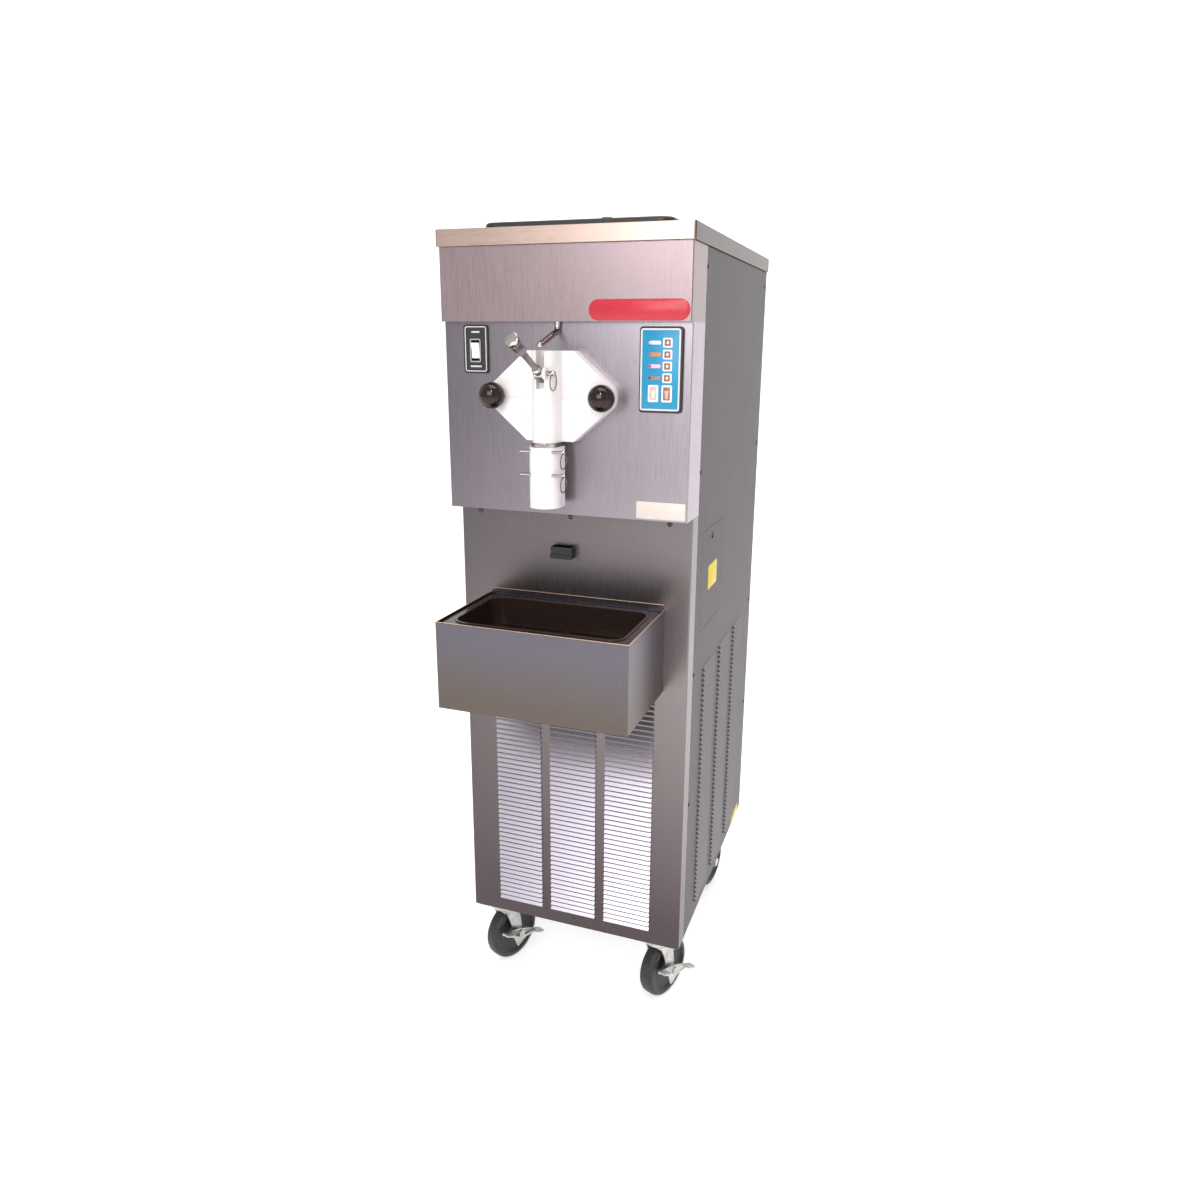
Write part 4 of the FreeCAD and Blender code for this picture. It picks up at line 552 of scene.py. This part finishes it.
switch_low, switch_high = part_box("switch_plate")
switch_face = panel_low[1] - 0.004
sx0, sx1, sz0, sz1 = switch_low[0], switch_high[0], switch_low[2], switch_high[2]
set_piece(eased("switch_surround", "switch_plate", 0.0005), black_moulding, "black_plastic", "cabinet",
          "switch_plate")
line = outline_ring("switch_line", (sx0 + 0.003, sx1 - 0.003, sz0 + 0.003, sz1 - 0.003), 0.0016,
                    switch_face - 0.0002, 0.0004, 0.004)
set_piece(line, silver, "white_plastic", "cabinet")
rocker_low, rocker_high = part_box("power_rocker")
rim = outline_ring("rocker_rim", (rocker_low[0] - 0.0028, rocker_high[0] + 0.0028, rocker_low[2] - 0.0068,
                                  rocker_high[2] + 0.0068), 0.0022, switch_face - 0.0019, 0.0006, 0.003)
set_piece(rim, grey_rim, "black_plastic", "cabinet")
set_piece(eased("rocker", "power_rocker", 0.0006), white_moulding, "white_plastic", "power_rocker",
          "power_rocker")
switch_mid = (sx0 + sx1) / 2
for mark, z, half in (("mark_above", sz1 - 0.0125, 0.008), ("mark_below", sz0 + 0.012, 0.011)):
    bar = plate(mark, round_outline(switch_mid - half, switch_mid + half, z - 0.0014, z + 0.0014, 0.0008, 2),
                switch_face - 0.0002, switch_face, 0.0001)
    set_piece(bar, silver, "white_plastic", "cabinet")

# ---- keypad ----
# A blue printed film inside a black moulded bezel.  Four square flavour keys have a coloured bar
# beside each, and two tall keys below them start and stop a serving.
keypad_blue = film("keypad_blue", (0.012, 0.27, 0.48), 0.35)
key_white = film("key_white", (0.86, 0.85, 0.86), 0.3)
key_brown = film("key_brown", (0.30, 0.13, 0.10), 0.35)
key_cream = film("key_cream", (0.86, 0.76, 0.66), 0.35)
key_pink = film("key_pink", (0.68, 0.42, 0.38), 0.35)
PRINT = 0.0002          # thickness of each printed layer
PRINT_EDGE = 0.0001
pad_low, pad_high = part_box("control_panel")
kx0, kx1, kz0, kz1, ky = pad_low[0], pad_high[0], pad_low[2], pad_high[2], pad_low[1]
bezel = plate("keypad_bezel", round_outline(kx0, kx1, kz0, kz1, 0.006), ky, panel_low[1], 0.0012)
set_piece(bezel, black_moulding, "black_plastic", "cabinet", "control_panel")
line = outline_ring("keypad_line", (kx0 + 0.0022, kx1 - 0.0042, kz0 + 0.0035, kz1 - 0.003), 0.0028,
                    ky - 0.0002, 0.0004, 0.0045)
set_piece(line, silver, "white_plastic", "cabinet")
blue = plate("keypad_field", round_outline(kx0 + 0.005, kx1 - 0.007, kz0 + 0.0063, kz1 - 0.0058, 0.0015, 3),
             ky - 0.0003, ky, 0.0001)
set_piece(blue, keypad_blue, "keypad_film", "cabinet")
bar_colours = [((0.85, 0.80, 0.82), (0.80, 0.45, 0.62)), ((0.80, 0.24, 0.03), (0.62, 0.07, 0.08)),
               ((0.85, 0.50, 0.66), (0.55, 0.06, 0.16)), ((0.33, 0.22, 0.24), (0.16, 0.04, 0.08))]
for i, (bar_colour, end_colour) in enumerate(bar_colours, 1):
    node = "flavour_button_%d" % i
    low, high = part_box(node)
    z = (low[2] + high[2]) / 2
    x = (low[0] + high[0]) / 2
    key = plate("key_%d" % i, round_outline(low[0], high[0], low[2], high[2], 0.002), low[1], high[1], 0.0005)
    set_piece(key, key_white, "white_plastic", node, node)
    square = round_outline(x - 0.0053, x + 0.0053, z - 0.0053, z + 0.0053, 0.001, 3)
    set_piece(plate("key_square_%d" % i, square, low[1] - PRINT, low[1], PRINT_EDGE), key_brown,
              "keypad_film", node)
    dot = round_outline(x - 0.0019, x + 0.0019, z - 0.0023, z + 0.0023, 0.0015, 4)
    set_piece(plate("key_dot_%d" % i, dot, low[1] - 2 * PRINT, low[1] - PRINT, PRINT_EDGE), key_cream,
              "keypad_film", node)
    bar_finish = film("flavour_bar_%d" % i, bar_colour)
    bar = round_outline(low[0] - 0.0225, low[0] - 0.0035, z - 0.003, z + 0.003, 0.0028)
    set_piece(plate("flavour_bar_%d" % i, bar, ky - 0.0006, ky - 0.0003, PRINT_EDGE), bar_finish,
              "keypad_film", "cabinet")
    tip_finish = film("flavour_tip_%d" % i, end_colour)
    tip = round_outline(low[0] - 0.0247, low[0] - 0.0195, z - 0.0026, z + 0.0026, 0.0025)
    set_piece(plate("flavour_tip_%d" % i, tip, ky - 0.0008, ky - 0.0003, PRINT_EDGE), tip_finish,
              "keypad_film", "cabinet")
for side in ("left", "right"):
    node = "serve_button_" + side
    low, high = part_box(node)
    x = (low[0] + high[0]) / 2
    key = round_outline(low[0], high[0], low[2], high[2], 0.002)
    set_piece(plate("serve_key_" + side, key, low[1], high[1], 0.0005), key_white, "white_plastic",
              node, node)
    field = round_outline(low[0] + 0.003, high[0] - 0.003, low[2] + 0.0032, high[2] - 0.0032, 0.001, 3)
    set_piece(plate("serve_field_" + side, field, low[1] - PRINT, low[1], PRINT_EDGE),
              key_pink if side == "left" else key_brown, "keypad_film", node)
    cup_low, cup_high = low[2] + 0.0055, high[2] - 0.009
    cup = [(x + 0.0022, cup_low), (x + 0.0036, cup_high), (x - 0.0036, cup_high), (x - 0.0022, cup_low)]
    set_piece(plate("serve_cup_" + side, cup, low[1] - 2 * PRINT, low[1] - PRINT, PRINT_EDGE),
              key_cream if side == "left" else key_pink, "keypad_film", node)

# ---- dispensing head ----
# A thick white acetal plate is clamped over the cylinder's mouth by two black ball knobs on studs.  A
# half-round boss down its middle houses the draw valve's plunger.
set_piece(eased("head_plate", "front_plate", 0.0014, 35, 3), white_moulding, "white_plastic", "cabinet",
          "front_plate")
dress(bright, "head_studs")
set_piece(eased("collar", "spout_collar", 0.0006), bright, "brushed_stainless", "cabinet", "spout_collar")
dress(white_moulding, "plunger")
phenolic = new_finish("polished_phenolic", (0.009, 0.005, 0.005), 0, 0.1, Specular_Tint=(1, 0.82, 0.76, 1))
to_shader(phenolic, "Roughness", span(phenolic, grain(phenolic, 120, detail=6), 0.05, 0.13))
for side in ("left", "right"):
    low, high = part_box("knob_" + side)
    ball_r = (high[2] - low[2]) / 2
    middle = ((low[0] + high[0]) / 2, low[1] + ball_r, (low[2] + high[2]) / 2)
    flat = high[1] - middle[1]
    cap = math.asin(flat / ball_r)
    profile = [(flat, 0.006), (flat, ball_r * math.cos(cap) * 0.96)]
    for i in range(37):
        a = cap - (cap + math.pi / 2) * i / 36
        profile.append((ball_r * math.sin(a), max(ball_r * math.cos(a), 0.00005)))
    knob = lathe("ball_knob_" + side, profile, (0, 1, 0), middle)
    set_piece(knob, phenolic, "gloss_black_plastic", "knob_" + side, "knob_" + side)

# ---- draw handle ----
# A turned and polished steel lever pinned in the boss's lugs, with a heavy grip and cap at its end.
# Pulling it down lifts the plunger.
pivot = Vector(joints["draw_handle_pull"]["pos_m"])
lever_tilt = math.radians(26.6)
lever_way = Vector((0, -math.cos(lever_tilt), math.sin(lever_tilt)))
# distance from the pivot and radius: ferrule, arm, grip, groove and cap
lever_profile = [(-0.004, 0.0045), (0.006, 0.0078), (0.016, 0.0078), (0.019, 0.0052), (0.078, 0.0056),
                 (0.080, 0.0092), (0.0815, 0.0098), (0.107, 0.0098), (0.1075, 0.0088), (0.1095, 0.0088),
                 (0.1100, 0.0112), (0.1115, 0.0119), (0.1210, 0.0119), (0.1225, 0.0112), (0.1230, 0.0100)]
lever = lathe("lever", lever_profile, lever_way, pivot, 48, False, 30)
set_piece(lever, bright, "polished_stainless", "draw_handle", "draw_handle")
hub_profile = [(-0.007, 0.008), (-0.0065, 0.009), (0.0065, 0.009), (0.007, 0.008)]
hub = lathe("lever_hub", hub_profile, (1, 0, 0), pivot, 48)
set_piece(hub, bright, "polished_stainless", "draw_handle")


# ---- pins with rings ----
# Stainless pull pins: one is the handle's pivot and two hold the spout's shroud.  Each has a split
# ring of spring wire through its right-hand end.
def bent_wire(name, points, radius, closed=False):
    """Round wire through the points, as a swept curve."""
    curve = bpy.data.curves.new(name, "CURVE")
    curve.dimensions = "3D"
    curve.bevel_depth = radius
    curve.bevel_resolution = 3
    curve.use_fill_caps = True
    spline = curve.splines.new("POLY")
    spline.points.add(len(points) - 1)
    for point, where in zip(spline.points, points):
        point.co = (*where, 1)
    spline.use_cyclic_u = closed
    spline.use_smooth = True
    piece = bpy.data.objects.new(name, curve)
    bpy.context.scene.collection.objects.link(piece)
    return piece


ring_wire = new_finish("spring_wire", (0.16, 0.15, 0.15), 1.0, 0.25)
to_shader(ring_wire, "Roughness", span(ring_wire, grain(ring_wire, 400), 0.18, 0.35))
for node in ("handle_pin", "shroud_pin_upper", "shroud_pin_lower"):
    low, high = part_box(node)
    eye_r = 0.0048 if node == "handle_pin" else 0.0033
    pin_r = eye_r - 0.0008
    axis_z = high[2] - eye_r
    axis_y = (low[1] + high[1]) / 2
    end = high[0] - eye_r
    profile = [(low[0], pin_r * 0.4), (low[0] + pin_r * 0.5, pin_r), (end - 0.004, pin_r),
               (end - 0.003, eye_r * 0.9), (end, eye_r), (end + eye_r * 0.7, eye_r * 0.7),
               (end + eye_r, 0.0004)]
    pin = lathe(node + "_rod", profile, (1, 0, 0), (0, axis_y, axis_z), 32, False, 50)
    set_piece(pin, bright, "polished_stainless", node, node)
    ring_r = (axis_z - low[2] - 0.001) / 2
    loop = []
    for i in range(40):
        a = math.tau * i / 40
        loop.append((end + 0.0007 * math.cos(a), axis_y + ring_r * math.sin(a),
                     axis_z - ring_r + ring_r * math.cos(a)))
    set_piece(bent_wire(node + "_ring", loop, 0.001, True), ring_wire, "polished_stainless", node)

# ---- spout shroud ----
# A white acetal sleeve round the nozzle, flat at the back, held up by the two lower pins.
set_piece(eased("shroud", "spout_shroud", 0.0012), white_moulding, "white_plastic", "cabinet", "spout_shroud")

# ---- switch arm ----
# A bent, polished steel rod turns in the header's floor beside the handle.  As the handle moves it
# swings, and a tab on its stem works the dasher's switch.
set_piece(eased("switch_rod", "switch_arm", 0.0006), bright, "polished_stainless", "switch_arm", "switch_arm")

# ---- drip box, pan and grid ----
# The box is folded and welded stainless sheet, hung on the lower panel.  A lift-out pan of dark brown
# moulding sits in it on a ledge, with a slotted grid inside.
# The box's peach upturned rims are a painted highlight, and the browner colour low on its front is painted
# shade.
box_steel = brushed("drip_box_steel", (0.15, 0.14, 0.165), 1.0, (1.0, 0.70, 0.50),
                    ((0.125, 0.105, 0.092), 0.72, 0.83))
set_piece(eased("drip_box_sheet", "drip_box", 0.0005), box_steel, "brushed_stainless", "cabinet", "drip_box")
pan_brown = new_finish("pan_moulding", (0.022, 0.014, 0.012), 0, 0.2, Specular_Tint=(1, 0.7, 0.52, 1),
                       Specular_IOR_Level=0.35)
pan_wear = grain(pan_brown, 160, detail=5)
to_shader(pan_brown, "Roughness", span(pan_brown, pan_wear, 0.12, 0.28))
pan_tones = [(0.020, 0.012, 0.011), (0.026, 0.017, 0.015)]
to_shader(pan_brown, "Base Color", colour_ramp(pan_brown, pan_wear, pan_tones))
set_piece(eased("pan", "drip_pan", 0.0011, 40, 3), pan_brown, "black_plastic", "drip_pan", "drip_pan")
set_piece(eased("grid", "drip_grid", 0.0004), pan_brown, "black_plastic", "drip_grid", "drip_grid")

# ---- drip drawer ----
# A black moulded trough slides out from under the gearbox through a slot in the lower panel.
set_piece(eased("drawer", "drip_drawer", 0.0005), black_moulding, "black_plastic", "drip_drawer",
          "drip_drawer")

low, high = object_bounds()
